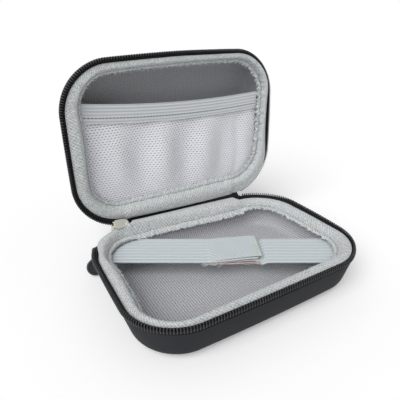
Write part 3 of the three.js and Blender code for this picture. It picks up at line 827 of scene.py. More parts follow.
def shader_colour(screen):
    """Screen colour as the shader's linear colour."""
    share = [value / 255 for value in screen]
    return tuple(s / 12.92 if s <= 0.04045 else ((s + 0.055) / 1.055) ** 2.4 for s in share) + (1.0,)


def coloured(tree, shader, pattern, dark, light):
    mix = add(tree, "ShaderNodeMix", {"Factor": pattern}, data_type="RGBA")
    ends = [socket for socket in mix.inputs if socket.type == "RGBA"]
    for socket, screen in zip(ends, (dark, light)):
        socket.default_value = shader_colour(screen)
    result = next(socket for socket in mix.outputs if socket.type == "RGBA")
    tree.links.new(result, shader.inputs["Base Color"])


def raised(tree, shader, height, depth, strength=1.0):
    bump = add(tree, "ShaderNodeBump", {"Height": height, "Distance": depth, "Strength": strength})
    tree.links.new(bump.outputs[0], shader.inputs["Normal"])


def cover_finish():
    material, tree, shader = new_finish("moulded_cover", roughness=0.7, specular=0.2)
    place = object_place(tree)
    fine, broad = (grain(tree, place, size) for size in (0.0005, 0.011))
    coloured(tree, shader, blended(tree, fine, broad, share=0.55), (27, 28, 31), (45, 46, 50))
    raised(tree, shader, fine, depth=0.00008, strength=0.6)
    return material


def lining_finish(name, dark, light, direction, share, depth):
    material, tree, shader = new_finish(name, roughness=0.9, sheen=0.15, specular=0.2)
    place = cloth_place(tree)
    twill = ribs(tree, place, direction, wander=grain(tree, place, size=2.2), amount=2.4)
    fuzz = crisp(tree, grain(tree, place, size=0.6, detail=3.0))
    weave = blended(tree, twill, fuzz, share)
    coloured(tree, shader, weave, dark, light)
    raised(tree, shader, weave, depth)
    return material


def binding_finish():
    material, tree, shader = new_finish("knit_binding", roughness=0.92, sheen=0.25, specular=0.2)
    place = cloth_place(tree)
    wander = grain(tree, place, size=3.0)
    knit, cross = (ribs(tree, place, way, wander, 2.2) for way in ((0.62, 0.6, 0.0), (0.5, -0.75, 0.0)))
    fuzz = crisp(tree, grain(tree, object_place(tree), size=0.0008, detail=3.0))
    loops = blended(tree, blended(tree, knit, cross, share=0.65), fuzz, share=0.5)
    coloured(tree, shader, loops, (148, 153, 154), (236, 239, 240))
    raised(tree, shader, loops, depth=0.0003)
    return material


def elastic_finish(name, dark, light, direction):
    material, tree, shader = new_finish(name, roughness=0.8, sheen=0.2, specular=0.3)
    place = cloth_place(tree)
    rib = ribs(tree, place, direction, wander=grain(tree, place, size=6.0), amount=0.8)
    weave = blended(tree, rib, grain(tree, object_place(tree), size=0.0005), share=0.6)
    coloured(tree, shader, weave, dark, light)
    raised(tree, shader, weave, depth=0.0001)
    return material


def woven_finish():
    material, tree, shader = new_finish("woven_tape", roughness=0.8, specular=0.25)
    place = cloth_place(tree)
    warp, weft = (ribs(tree, place, way) for way in ((1.6, 0, 0), (0, 2.2, 0)))
    weave = blended(tree, warp, weft, share=0.5)
    coloured(tree, shader, weave, (12, 12, 13), (28, 29, 31))
    raised(tree, shader, weave, depth=0.0001)
    return material


def grained_finish(name, dark, light, size, depth, detail=2.0, **looks):
    """One even grain for yarn, wire, thread and mouldings."""
    material, tree, shader = new_finish(name, **looks)
    pattern = grain(tree, object_place(tree), size, detail)
    coloured(tree, shader, pattern, dark, light)
    raised(tree, shader, pattern, depth)
    return material


def smooth_finish(name, dark, light, roughness, specular=0.2):
    return grained_finish(
        name, dark, light, size=0.0007, depth=0.00004, roughness=roughness, specular=specular)


COVER = cover_finish()
BASE_LINING = lining_finish(
    "base_twill", (118, 118, 122), (226, 226, 230), direction=(0.815, 0.03, 0), share=0.42, depth=0.0002)
# The lid's lining is the base's twill with painted shade: a darker, flatter colour for the shade inside the
# upright lid.
SHADED_LID_LINING = lining_finish(
    "lid_twill_painted_shade", (136, 138, 141), (178, 180, 183), direction=(0.78, 0, 0), share=0.2, depth=0.0001)
KNIT = binding_finish()
STRAP = elastic_finish(
    "strap_elastic", (174, 183, 187), (222, 230, 233), direction=(0.0, STRAP_RIBS / STRAP_WIDTH, 0))
FOLD = elastic_finish("strap_fold_elastic", (180, 188, 191), (212, 219, 222), direction=(0.5, 0.42, 0))
ELASTIC = elastic_finish("pocket_elastic", (182, 186, 189), (216, 220, 223), direction=(0.0, 0.62, 0))
MESH = grained_finish(
    "pocket_mesh", (228, 228, 235), (249, 249, 254), size=0.0008, depth=0.00008,
    roughness=0.8, sheen=0.2, specular=0.3)
COIL = smooth_finish("zip_coil", (16, 16, 18), (40, 41, 44), roughness=0.28, specular=0.55)
STOP = smooth_finish("zip_stop", (12, 12, 13), (24, 24, 26), roughness=0.55)
WOVEN = woven_finish()
NICKEL = grained_finish(
    "dull_nickel", (176, 174, 163), (200, 198, 187), size=0.0012, depth=0.00003, detail=4.0,
    roughness=0.5, metallic=0.3)
PULL = smooth_finish("moulded_pull", (36, 38, 41), (52, 54, 59), roughness=0.5, specular=0.4)
DARK_THREAD = smooth_finish("dark_thread", (58, 60, 62), (92, 95, 97), roughness=0.85)
SEAM_THREAD = smooth_finish("seam_thread", (124, 128, 130), (160, 164, 166), roughness=0.85)
PALE_THREAD = smooth_finish("pale_thread", (196, 202, 200), (226, 230, 228), roughness=0.85)
SEWING_THREAD = smooth_finish("sewing_thread", (176, 182, 166), (226, 230, 216), roughness=0.85)
RUBBER_THREAD = smooth_finish("rubber_thread", (186, 158, 152), (236, 220, 214), roughness=0.7)


# Moulded shells and their linings

def wall_inset(drop, offset):
    return LIP_INSET + (drop - LIP_DROP) * math.tan(WALL_DRAFT) + offset / math.cos(WALL_DRAFT)


def floor_turn(offset):
    """Round turn from the wall to the floor, at an offset inside the shell's outer face."""
    centre_drop = HALF_DEPTH - FLOOR_RADIUS
    centre_inset = wall_inset(centre_drop, FLOOR_RADIUS)
    radius = FLOOR_RADIUS - offset
    angles = np.linspace(WALL_DRAFT, QUARTER, FLOOR_STEPS + 1)
    return [(centre_inset - radius * math.cos(a), centre_drop + radius * math.sin(a)) for a in angles]


def rounded_edge(corner, before, after):
    """Three points that round a corner of the shell's lip."""
    corner, before, after = (np.array(p, float) for p in (corner, before, after))
    start, end = (unit(p - corner) * LIP_ROUND for p in (before, after))
    return [tuple(corner + start), tuple(corner + (start + end) * LIP_SOFTNESS), tuple(corner + end)]


def bowl(name, side, profile, finish):
    """Bowl of one section round the rim; its cloth coordinates run from the floor on up the walls."""
    s = np.linspace(0, RIM_LENGTH, BOWL_STEPS, endpoint=False)
    points, faces, _ = capped(np.stack([on_rim(side, s, inset, drop) for inset, drop in profile]))
    up_wall = arc_lengths(np.array(profile[::-1]), wrap=False)[::-1]
    cloth = np.concatenate([inset_line(s, profile[-1][0] - climb) for climb in up_wall])
    uv = np.vstack([cloth[polygon] for polygon in faces])
    return piece(name, points, faces, finish, uv, sharp=40)


def shell(side):
    lip_inner = LIP_INSET + LIP_THICKNESS
    wall_top = (LIP_INSET, LIP_DROP)
    lip_top = (lip_inner, LIP_DROP)
    rebate = (lip_inner, REBATE_DROP)
    outside = floor_turn(0)[::-1]
    profile = [
        *outside,
        *rounded_edge(wall_top, outside[-1], lip_top),
        *rounded_edge(lip_top, wall_top, rebate),
        rebate,
        (wall_inset(REBATE_DROP, SHELL_WALL), REBATE_DROP),
        *floor_turn(SHELL_WALL),
    ]
    name = f"{BODY[side]}_shell"
    finished(bowl(f"{name}_cover", side, profile, COVER), BODY[side], "cover", name)


def lining(side):
    profile = [
        *floor_turn(LINING_OFFSET)[::-1],
        *((wall_inset(REBATE_DROP, offset), REBATE_DROP) for offset in (LINING_OFFSET, CAVITY_OFFSET)),
        *floor_turn(CAVITY_OFFSET),
    ]
    name = f"{BODY[side]}_lining"
    # The lid's lining takes the twill with painted shade.
    finish = BASE_LINING if side == BASE else SHADED_LID_LINING
    obj = finished(bowl(f"{name}_cloth", side, profile, finish), BODY[side], "lining", name)


# Knit binding

def binding_section(side, hinge, fold, full, spread, tuck, brim, flange, droop, swell):
    """Section of the binding: a roll from the tape to the seam, and a raw flange beyond it."""
    slim, round_shoulder, low = (np.array(p) for p in (SLIM_SHOULDER, FULL_SHOULDER, HINGE_SHOULDER))
    by_zip = slim + (round_shoulder - slim) * full
    by_hinge = low + fold * hinge * np.array(HINGE_FOLD_SHIFT[side])
    shoulder = by_zip + (by_hinge - by_zip) * max(hinge, spread, tuck)
    shoulder[0] += (SPREAD_INSET - HINGE_SHOULDER[0]) * spread
    shoulder += swell * hinge * np.array(SWELL_SHOULDER)
    seat = REBATE_DROP - SEAT_GAP
    start = np.array([
        (BINDING_OUTER, seat), (BINDING_OUTER, max(TAPE_BEND_DROP, shoulder[1] + FOOT_STEP)),
    ])
    seam = brim - flange
    lift = HINGE_LIFT * max(hinge, SPREAD_LIFT * spread) + FULL_LIFT * full
    lift += HINGE_FOLD_LIFT[side] * fold * hinge + swell
    crown, top = (shoulder[0] + seam) / 2, CROWN_DROP - lift
    level = BRIM_DROP + HINGE_BRIM_SAG * hinge
    under = level + BRIM_THICKNESS + droop
    tail = wall_inset(BINDING_TAIL_DROP, CAVITY_OFFSET) + SEAT_GAP
    rise = bezier(shoulder, ((shoulder[0] + crown) / 2 - RISE_FULLNESS, top), (crown, top), RISE_STEPS)
    fall = bezier((crown, top), (seam - FALL_FULLNESS, top + FALL_SAG), (seam, SEAM_DROP), FALL_STEPS)[1:]
    edge_bend = (seam + FLANGE_BEND * flange, SEAM_DROP - FLANGE_CURL)
    edge = bezier((seam, SEAM_DROP), edge_bend, (brim, level), FLANGE_STEPS)[1:]
    edge[:, 1] += droop * (edge[:, 0] - seam) / flange
    roll = np.vstack([rise, fall, edge])
    lip = (brim + BRIM_ROUND, (level + droop + under) / 2)
    underside = bezier((brim, under), ((brim + tail) / 2, under), (tail, BINDING_TAIL_DROP), UNDER_STEPS)
    end = (wall_inset(seat, CAVITY_OFFSET) + SEAT_GAP, seat)
    return np.vstack([start, roll, lip, underside, end]), len(start), len(start) + len(roll)


def hinge_share(s):
    """1 along the hinge and 0 along the zip."""
    rise = np.clip((s - HINGE_START) / HINGE_FADE, 0, 1)
    fall = np.clip((RIM_LENGTH - s) / HINGE_FADE, 0, 1)
    return np.minimum(rise, fall)


def fold_share(s):
    """How far along the hinge, from 0 at the zip's end to 1 at the slider."""
    return np.clip((s - HINGE_START) / (RIM_LENGTH - HINGE_START), 0, 1)


def slackness(side, s):
    """Where the open zip falls outwards beside its slider and the binding spreads over it."""
    return ease((SLACK_END - s) / (SLACK_END - SLACK_START)) if side == BASE else 0 * s


def swelling(side, s, hinge):
    """How far the fold pushes the base's roll up in front of the slider."""
    if side == LID:
        return 0 * s
    past = np.where(s > RIM_LENGTH / 2, s - RIM_LENGTH, s)
    along_hinge = SWELL_HINGE * np.exp(past / SWELL_HINGE_FADE)
    along_hinge += SWELL_CORNER * (1 - hinge) * (past > -SWELL_CORNER_REACH)
    along_zip = SWELL_ZIP * ease((SWELL_ZIP_END - past) / SWELL_ZIP_FADE)
    along_zip += (SWELL_HINGE + SWELL_CORNER - SWELL_ZIP) * np.exp(-(past / SWELL_PEAK_WIDTH) ** 2)
    return np.where(past < 0, along_hinge, along_zip)


def ripple(s, counts, phases):
    """Uneven wave that closes round the rim."""
    return sum(np.sin(TAU * n * s / RIM_LENGTH + p) for n, p in zip(counts, phases)) / len(counts)


def binding(side):
    s = np.linspace(0, RIM_LENGTH, BINDING_STEPS, endpoint=False)
    hinge, fold = hinge_share(s), fold_share(s)
    full, brims, flanges, ragged, sway, tuck = (
        along_rim(values[side], s) for values in (FULLNESS, BRIM, FLANGE, RAGGED, SWAY, TUCK))
    spread = slackness(side, s) * (1 - hinge)
    swell = swelling(side, s, hinge)
    wave, fray, pucker = (ripple(s, *waves) for waves in (EDGE_WAVE, EDGE_FRAY, SEAM_PUCKER))
    shapes = zip(hinge, fold, full, spread, tuck, brims, flanges, DROOP[side] * hinge, swell)
    rings = []
    for i, shape in enumerate(shapes):
        section, top, brim = binding_section(side, *shape)
        inset, drop = section.T
        seam = brims[i] - flanges[i]
        past = np.clip((inset - seam) / flanges[i], 0, 1)
        near = np.exp(-((inset - seam) / SEAM_WIDTH) ** 2)
        lean = sway[i] * np.clip(1 - drop / TAPE_LOW, 0, 1) * np.clip((seam - inset) / SWAY_FADE, 0, 1)
        ravel = ragged[i] * (FRAY_REACH * fray[i] * past ** 2 + SEAM_WANDER * wave[i] * near)
        crumple = ragged[i] * (WAVE_HEIGHT * wave[i] * past + PUCKER_HEIGHT * pucker[i] * near)
        rings.append(on_rim(side, s[i], inset + lean + ravel, drop + crumple))
    rings = np.stack(rings)
    plain = {"hinge": 0, "fold": 0, "spread": 0, "tuck": 0, "droop": 0, "swell": 0}
    section, top, brim = binding_section(
        side, full=PLAIN_FULLNESS, brim=PLAIN_BRIM, flange=PLAIN_FLANGE, **plain)
    across = arc_lengths(section, wrap=True)
    points, faces, uv = loft(rings, True, across, np.append(s, RIM_LENGTH))
    name = f"{BODY[side]}_binding"
    obj = finished(piece(f"{name}_knit", points, faces, KNIT, uv, sharp=60), BODY[side], "binding", name)
    seam = top + RISE_STEPS + FALL_STEPS - 2
    seam_and_fray(side, rings[:, seam], rings[:, brim])


def spaced_rows(line, pitch):
    """Places at an even pitch along a closed line, with the line's direction there."""
    lengths = arc_lengths(line, wrap=True)
    closed = np.vstack([line, line[:1]])
    stops = np.arange(0, lengths[-1] - pitch / 2, pitch)
    step = 0.3
    places, ahead = (
        np.stack([np.interp(np.mod(at, lengths[-1]), lengths, closed[:, k]) for k in range(3)], -1)
        for at in (stops, stops + step))
    return places, unit(ahead - places)


def seam_and_fray(side, seam_line, edge_line):
    up = face(side, 0, 0, -1)
    places, along = spaced_rows(seam_line, SEAM_STITCH_PITCH)
    ups = np.tile(up, (len(places), 1))
    stitches = run_tree(
        f"{BODY[side]}_binding_stitches", STITCHES, {"Length": 0.0012, "Thread": 0.00022},
        SEAM_THREAD, places + ups * SEAM_STITCH_LIFT, along, ups)
    finished(stitches, BODY[side], "binding")
    places, along = spaced_rows(edge_line, FRAY_PITCH)
    ups = np.tile(up, (len(places), 1))
    inward = np.cross(along, ups)
    inward *= np.sign(np.sum((edge_line.mean(axis=0) - places) * inward, axis=1))[:, None]
    fray = run_tree(
        f"{BODY[side]}_binding_fray", FRAY,
        {"Length": 0.0011, "Thread": 0.00011, "Spread": 0.9, "Seed": 3 + side},
        PALE_THREAD, places - inward * FRAY_ROOT, inward, ups)
    finished(fray, BODY[side], "binding")


# Zip

def leaning(side, s, inset, drop):
    """Zip section at places along the rim: it sways inwards, and falls outwards where it is slack."""
    inset = inset + along_rim(SWAY[side], s) * np.clip(1 - drop / TAPE_LOW, 0, 2)
    drop = drop + TUCK_DEPTH * along_rim(TUCK[side], s) * np.clip((TAPE_LOW - drop) / TAPE_LOW, 0, 1)
    fall = SLACK_FALL * slackness(side, s)
    out, up = TAPE_FOOT_MIDDLE - inset, TAPE_BEND_DROP - drop
    turned_out = np.where(up > 0, out * np.cos(fall) + up * np.sin(fall), out)
    turned_up = np.where(up > 0, up * np.cos(fall) - out * np.sin(fall), up)
    return TAPE_FOOT_MIDDLE - turned_out, TAPE_BEND_DROP - turned_up


def zip_strip(name, side, s, section, finish):
    """Strip of one section along the zip."""
    rings = np.stack([on_rim(side, s, *leaning(side, s, inset, drop)) for inset, drop in section], axis=1)
    points, faces, uv = capped(rings, arc_lengths(np.array(section), wrap=True), s)
    return piece(name, points, faces, finish, uv, sharp=40)


def zip_half(side):
    """One half of the zip: its tape, its coil and the cord in the coil."""
    body = BODY[side]
    start = CHAIN_START - MOUTH_REACH
    tape_end = STOP_START if side == BASE else HINGE_START + HINGE_END_MARGIN
    section = [
        (TAPE_OUTER, TAPE_DROP), (TAPE_INNER, TAPE_DROP), (TAPE_FOOT_INNER, TAPE_BEND_DROP),
        (TAPE_FOOT_INNER, TAPE_LOW), (TAPE_FOOT_OUTER, TAPE_LOW), (TAPE_FOOT_OUTER, TAPE_BEND_DROP),
    ]
    tape = zip_strip(f"{body}_zip_tape_woven", side, np.linspace(start, tape_end, ZIP_STEPS), section, WOVEN)
    finished(tape, body, "zip", f"{body}_zip_tape")

    first = start + TOOTH_PITCH * (0.5 if side == BASE else 1)
    stops = np.arange(first, CHAIN_END - TOOTH_PITCH / 2, TOOTH_PITCH)
    _, tangent = rim_at(stops)
    middle = (COIL_DROP - TOOTH_REACH) / 2
    centre = TEETH_THICKNESS / 2 + COIL_SETBACK
    places = on_rim(side, stops, *leaning(side, stops, centre, middle))
    along = face(side, tangent[:, 0], tangent[:, 1], 0)
    sway = np.arctan(along_rim(SWAY[side], stops) / TAPE_LOW)
    lean = (COIL_LEAN - sway + SLACK_FALL * slackness(side, stops))[:, None]
    outward = face(side, tangent[:, 1], -tangent[:, 0], 0)
    ups = face(side, 0, 0, -1) * np.cos(lean) + outward * np.sin(lean)
    sizes = {
        "Pitch": COIL_ADVANCE * TOOTH_PITCH * MM,
        "Height": (COIL_DROP + TOOTH_REACH - 2 * COIL_WIRE) * MM,
        "Depth": (TEETH_THICKNESS - 2 * COIL_WIRE) * MM,
        "Wire": COIL_WIRE * MM,
    }
    coil = run_tree(f"{body}_zip_coil", COILS, sizes, COIL, places, along, ups)
    finished(coil, body, "zip", f"{body}_zip_teeth")

    slant = math.tan(COIL_LEAN)
    outer, inner = -CORE_HALF_WIDTH, TAPE_INNER - centre
    corners = ((outer, CORE_TOP), (inner, CORE_TOP + CORE_SLOPE), (inner, CORE_LOW), (outer, CORE_LOW))
    core = [(centre + across - slant * (middle - drop), drop) for across, drop in corners]
    run = np.linspace(stops[0], STOP_START if side == BASE else stops[-1], ZIP_STEPS)
    finished(zip_strip(f"{body}_zip_core_cord", side, run, core, WOVEN), body, "zip")


def end_stop():
    """Moulded stop that holds the tape's end, slimmer at its own two ends."""
    inner, outer = TAPE_FOOT_INNER - STOP_SEAT, TAPE_FOOT_OUTER + STOP_SEAT
    low = TAPE_LOW - STOP_ROUND
    section = np.array([
        (TAPE_OUTER, STOP_TOP), (TAPE_INNER - STOP_ROUND, STOP_TOP), (TAPE_INNER - STOP_SEAT, TAPE_DROP),
        (inner, TAPE_BEND_DROP), (inner, low), (outer, low), (outer, TAPE_BEND_DROP + STOP_SEAT),
        (TAPE_OUTER, STOP_LOW), (STOP_OUTER + STOP_ROUND, STOP_LOW), (STOP_OUTER, STOP_LOW - STOP_ROUND),
        (STOP_OUTER, STOP_TOP + STOP_ROUND), (STOP_OUTER + STOP_ROUND, STOP_TOP),
    ])
    centre = section.mean(axis=0)
    scales = STOP_SLIM + (1 - STOP_SLIM) * np.array(STOP_SWELL)
    lengths = np.linspace(STOP_START, HINGE_START, len(scales))
    rings = np.stack([
        on_rim(BASE, s, *(centre + (section - centre) * scale).T) for s, scale in zip(lengths, scales)])
    points, faces, _ = capped(rings)
    finished(piece("zip_end_stop_moulded", points, faces, STOP, sharp=50), "base", "zip", "zip_end_stop")


def hinge_tape():
    """One tape from the base's rebate over the fold to the lid's; it bulges out by the slider."""
    s = np.linspace(HINGE_START - HINGE_OVERRUN, RIM_LENGTH - HINGE_END_MARGIN, HINGE_TAPE_STEPS)
    foot = [(TAPE_FOOT_MIDDLE, TAPE_LOW), (TAPE_FOOT_MIDDLE, 4.6)]
    half = np.array([*foot, (3.05, 3.4), (2.3, 2.4), (1.3, 1.5), (0.75, 0.9), (0.55, 0.45)])
    bulged = np.array([*foot, (2.75, 3.1), (0.45, 2.3), (0.35, 1.5), (0.35, 0.9), (0.35, 0.45)])
    lines = [on_rim(BASE, s, inset, drop) for inset, drop in half]
    for plain, moved in zip(half[::-1], bulged[::-1]):
        inset, drop = (plain[k] + (moved[k] - plain[k]) * fold_share(s) for k in (0, 1))
        lines.append(on_rim(LID, s, inset, drop))
    sheet = np.stack(lines)
    normal = unit(np.cross(np.gradient(sheet, axis=1), np.gradient(sheet, axis=0)))
    thick = normal * HINGE_TAPE_THICKNESS / 2
    rings = np.concatenate([sheet + thick, (sheet - thick)[::-1]]).transpose(1, 0, 2)
    points, faces, uv = capped(rings, arc_lengths(rings[0], wrap=True), s)
    obj = piece("hinge_tape_woven", points, faces, WOVEN, uv, sharp=60)
    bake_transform(obj)
    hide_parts("base_hinge_tape", "lid_hinge_tape")


# Pocket in the lid

RIGHT_END = np.linspace(length_at(RIM_STRETCHES - 4), HINGE_START, 400)


def half_length(y, inset):
    """Half the free length inside the rim at a distance from its middle line."""
    edge = inset_line(RIGHT_END, inset)
    return np.interp(y, edge[:, 1], edge[:, 0])


def hinge_side(x, inset):
    return CASE_WIDTH / 2 + SIDE_BOW * (1 - (2 * x / CASE_LENGTH) ** 2) - inset


def pocket_top(x):
    share = x / half_length(0, MESH_EDGE_INSET)
    height = POCKET_HEIGHT - x * math.tan(POCKET_TILT) - POCKET_SAG * (1 - share ** 2)
    return REAR_EDGE - height


def mesh_slack(x, y):
    """How far the slack mesh leaves its plane: soft upright folds that die out at its sewn edges."""
    top = pocket_top(x)
    bottom = hinge_side(np.clip(x, -MESH_CORNER, MESH_CORNER), MESH_EDGE_INSET)
    up = np.clip((bottom - y) / (bottom - top), 0, 1)
    across = np.clip(x / half_length(y, MESH_EDGE_INSET), -1, 1)
    slack = np.sin(math.pi * up) ** 2 * (1 - across ** 2)
    folds = np.sin(MESH_FOLDS * math.pi * across + MESH_FOLD_LEAN * (up - 0.5))
    folds += MESH_RIPPLE * np.sin(MESH_RIPPLE_TURN * across + MESH_RIPPLE_LEAN * up)
    from_crease = across - MESH_CREASE_PLACE + MESH_CREASE_LEAN * up
    crease = np.exp(-(from_crease / MESH_CREASE_WIDTH) ** 2) * np.sin(math.pi * up)
    return MESH_FOLD_DEPTH * slack * folds + MESH_CREASE * crease


def mesh_pocket():
    columns = np.arange(-MESH_COLUMNS, MESH_COLUMNS + 1) * MESH_PITCH
    x, row = (grid.ravel() for grid in np.meshgrid(columns, np.arange(MESH_ROWS)))
    x = x + (row % 2) * MESH_PITCH / 2
    y = REAR_EDGE - MESH_EDGE_INSET - MESH_START - row * MESH_ROW
    inside = abs(x) < half_length(y, MESH_EDGE_INSET + MESH_END_LAP)
    inside &= (y > pocket_top(x) + MESH_TOP_LAP) & (y < hinge_side(x, MESH_EDGE_INSET + MESH_CELL))
    places = np.stack([x, y, 0 * x], -1)[inside]
    sizes = {
        "Cell": MESH_CELL * MM,
        "Wide": MESH_PITCH / math.sqrt(3) / MESH_CELL,
        "Tall": MESH_ROW / 1.5 / MESH_CELL,
        "Hole": MESH_HOLE,
        "Squash": MESH_SQUASH,
    }
    panel = thickened(run_tree("pocket_mesh", PERFORATED, sizes, MESH, places), "yarn", MESH_YARN)

    def hang(flat):
        x, y, thick = flat.T
        return stand(LID, x, y, MESH_DROP + thick + mesh_slack(x, y))

    mapped(panel, hang)
    finished(panel, "lid", "mesh", "mesh_pocket")


def elastic_band(name, length, width, rib_count, relief, thickness, finish, steps, rows):
    """Flat band with its cloth coordinates along and across it."""
    sizes = {
        "Length": length * MM, "Width": width * MM, "Ribs": float(rib_count), "Relief": relief * MM,
        "Steps": steps, "Rows": rows,
    }
    band = thickened(run_tree(name, RIBBED, sizes, finish), "elastic", thickness)
    mesh = band.data
    corners = np.zeros(len(mesh.loops), int)
    mesh.loops.foreach_get("vertex_index", corners)
    layer = mesh.uv_layers.new(name="cloth")
    layer.data.foreach_set("uv", vertex_places(mesh)[corners, :2].astype(np.float32).ravel())
    return band


def pocket_elastic():
    length = 2 * half_length(0, ELASTIC_EDGE_INSET)
    band = elastic_band(
        "pocket_elastic_band", length, ELASTIC_HEIGHT, rib_count=6, relief=0.07, thickness=0.7,
        finish=ELASTIC, steps=160, rows=74)

    def hung(along, fall, drop):
        share = 2 * along / length
        y = pocket_top(share * half_length(0, MESH_EDGE_INSET)) + fall
        return stand(LID, share * half_length(y, ELASTIC_EDGE_INSET), y, drop)

    def hang(flat):
        along, across, thick = flat.T
        fall = ELASTIC_HEIGHT / 2 - across
        loose = np.clip((fall - RUFFLE_START) / RUFFLE_FADE, 0, 1)
        ruffle = RUFFLE_HEIGHT * np.sin(TAU * along / RUFFLE_LENGTH) * loose
        return hung(along, fall, ELASTIC_DROP + ELASTIC_THICKNESS / 2 - thick + ruffle)

    mapped(band, hang)
    finished(band, "lid", "elastic", "pocket_elastic")
    sewn = length / 2 - POCKET_STITCH_MARGIN
    places = hung(
        np.arange(-sewn, sewn, POCKET_STITCH_PITCH), POCKET_STITCH_FALL, ELASTIC_DROP + POCKET_STITCH_SINK)
    along = unit(np.gradient(places, axis=0))
    ups = np.tile(face(LID, 0, 0, -1), (len(places), 1))
    row = run_tree(
        "pocket_stitches", STITCHES, {"Length": 0.0011, "Thread": 0.0002}, DARK_THREAD, places, along, ups)
    finished(row, "lid", "elastic")


# Strap in the tray

STRAP_ALONG = np.array([math.cos(STRAP_TURN), math.sin(STRAP_TURN)])
STRAP_ACROSS = np.array([-math.sin(STRAP_TURN), math.cos(STRAP_TURN)])
STRAP_MIDDLE = np.array([0, STRAP_OFFSET])
STRAP_LOW_EDGE = -STRAP_WIDTH / 2
UPWARD = (0, 0, 1.0)


def strap_reach(across, end):
    """Where the strap's line at a distance from its middle meets the rim's inset edge."""
    edge = inset_line(np.linspace(0, RIM_LENGTH, 2400), STRAP_EDGE_INSET) - STRAP_MIDDLE
    a, b = edge @ STRAP_ALONG, edge @ STRAP_ACROSS
    keep = a * end > 0
    order = np.argsort(b[keep])
    return np.interp(across, b[keep][order], a[keep][order])


def on_strap(along, across, drop):
    plan = np.outer(along, STRAP_ALONG) + np.outer(across, STRAP_ACROSS) + STRAP_MIDDLE
    return stand(BASE, plan[:, 0], plan[:, 1], drop)


def strap_lift(place):
    """How far the left strap's end rises, from 0 to 1 at its sewn end."""
    return ease((place - STRAP_SEAM) / LEFT_LIFT_LENGTH + 1)


def strap_shift(place, across):
    """The left strap's end slides up and narrows where it is folded back and sewn."""
    return across + strap_lift(place) * (LEFT_SLIDE - LEFT_NARROWING * across / (STRAP_WIDTH / 2))


def strap_band(name, length, lay, node):
    band = elastic_band(
        name, length, STRAP_WIDTH, STRAP_RIBS, relief=0.1, thickness=0.85, finish=STRAP, steps=120, rows=82)
    mapped(band, lay)
    return finished(band, "base", "elastic", node)


def lay_left(flat):
    along, across, thick = flat.T
    start = strap_reach(across, -1)
    place = start + (STRAP_SEAM - LEFT_MARGIN - start) * (along / LEFT_LENGTH + 0.5)
    return on_strap(place, strap_shift(place, across), STRAP_DROP + STRAP_THICKNESS / 2 - thick)


def lay_right(flat):
    along, across, thick = flat.T
    start, end = STRAP_SEAM - STRAP_OVERLAP, strap_reach(across, 1)
    place = start + (end - start) * (along / RIGHT_LENGTH + 0.5)
    rise = RIGHT_RISE * ease((place - STRAP_SEAM + RIGHT_RISE_START) / RIGHT_RISE_LENGTH)
    tail = TAIL_NARROWING * (1 - ease((place - STRAP_SEAM + TAIL_START) / TAIL_LENGTH))
    across = across + tail * np.clip(-2 * across / STRAP_WIDTH, 0, 1)
    return on_strap(place, across, RIGHT_DROP + STRAP_THICKNESS / 2 - thick - rise)


def lay_fold(flat):
    along, across, thick = flat.T
    place = along + STRAP_SEAM - FOLD_LENGTH / 2 - FOLD_SETBACK
    lift = strap_lift(place)
    sunk = FOLD_SINK * (1 - ease((place - STRAP_SEAM + FOLD_LENGTH) / FOLD_SINK_LENGTH))
    soft = FOLD_WAVE * np.sin(place / FOLD_WAVE_ALONG + across / FOLD_WAVE_ACROSS)
    drop = STRAP_DROP - FOLD_HEIGHT - thick - FOLD_RISE * lift + sunk + soft
    return on_strap(place - FOLD_SKEW * across * lift, strap_shift(place, across), drop)


def strap_stitches():
    """Two zigzag rows that sew the fold to the strap."""
    span = np.linspace(STRAP_LOW_EDGE + SEW_LOW_MARGIN, STRAP_WIDTH / 2 + SEW_HIGH_MARGIN, SEW_COUNT)
    across = np.repeat(span, 2)
    zigzag = np.tile((-SEW_HALF_WIDTH, SEW_HALF_WIDTH), SEW_COUNT)
    on_fold = across > STRAP_LOW_EDGE + SEW_FOLD_START
    drops = np.where(on_fold, STRAP_DROP - SEW_FOLD_HEIGHT, RIGHT_DROP - SEW_STRAP_HEIGHT)
    rows = [on_strap(STRAP_SEAM - back + zigzag - FOLD_SKEW * across, across, drops) for back in SEW_ROWS]
    direction = np.stack([np.append(STRAP_ACROSS + z * STRAP_ALONG, 0) for z in zigzag])
    places, along = np.vstack(rows), np.vstack([direction] * len(rows))
    row = run_tree(
        "strap_seam_stitches", STITCHES, {"Length": 0.0014, "Thread": 0.0002}, SEWING_THREAD,
        places, along, np.tile(UPWARD, (len(places), 1)))
    return finished(row, "base", "elastic")


def cord(path, radius, sides=5):
    """Round thread along an open path that runs along the strap."""
    angles = np.linspace(0, TAU, sides, endpoint=False)
    ring = np.outer(np.cos(angles), np.append(STRAP_ACROSS, 0)) + np.outer(np.sin(angles), UPWARD)
    return capped(path[:, None, :] + radius * ring[None])[:2]


def rubber_threads():
    """Cut rubber threads that hang from the strap's lower edge."""
    rng = np.random.default_rng(5)
    cords = []
    for k in range(THREAD_COUNT):
        start = THREAD_START + THREAD_STAGGER * rng.random()
        along = np.linspace(start, STRAP_SEAM - THREAD_TRIM * rng.random(), 60)
        share = (along - THREAD_START) / THREAD_SPAN
        wave = THREAD_SWAY * np.sin(along * (0.5 + 0.5 * rng.random()) + TAU * rng.random())
        wave -= THREAD_HANG * rng.random() * (1 - ease((along - THREAD_START) / THREAD_HANG_LENGTH))
        spacing = THREAD_SPACING * k * (THREAD_FAN + share) + THREAD_SLOPE * share
        drop = STRAP_DROP + THREAD_DROP + THREAD_LAYER * (k % 3) + THREAD_WAVE * np.cos(along * 0.9 + k)
        cords.append(cord(on_strap(along, STRAP_LOW_EDGE - THREAD_LOW + spacing + wave, drop), THREAD_RADIUS))
    return finished(piece("strap_rubber_threads", *merged(cords), RUBBER_THREAD), "base", "elastic")


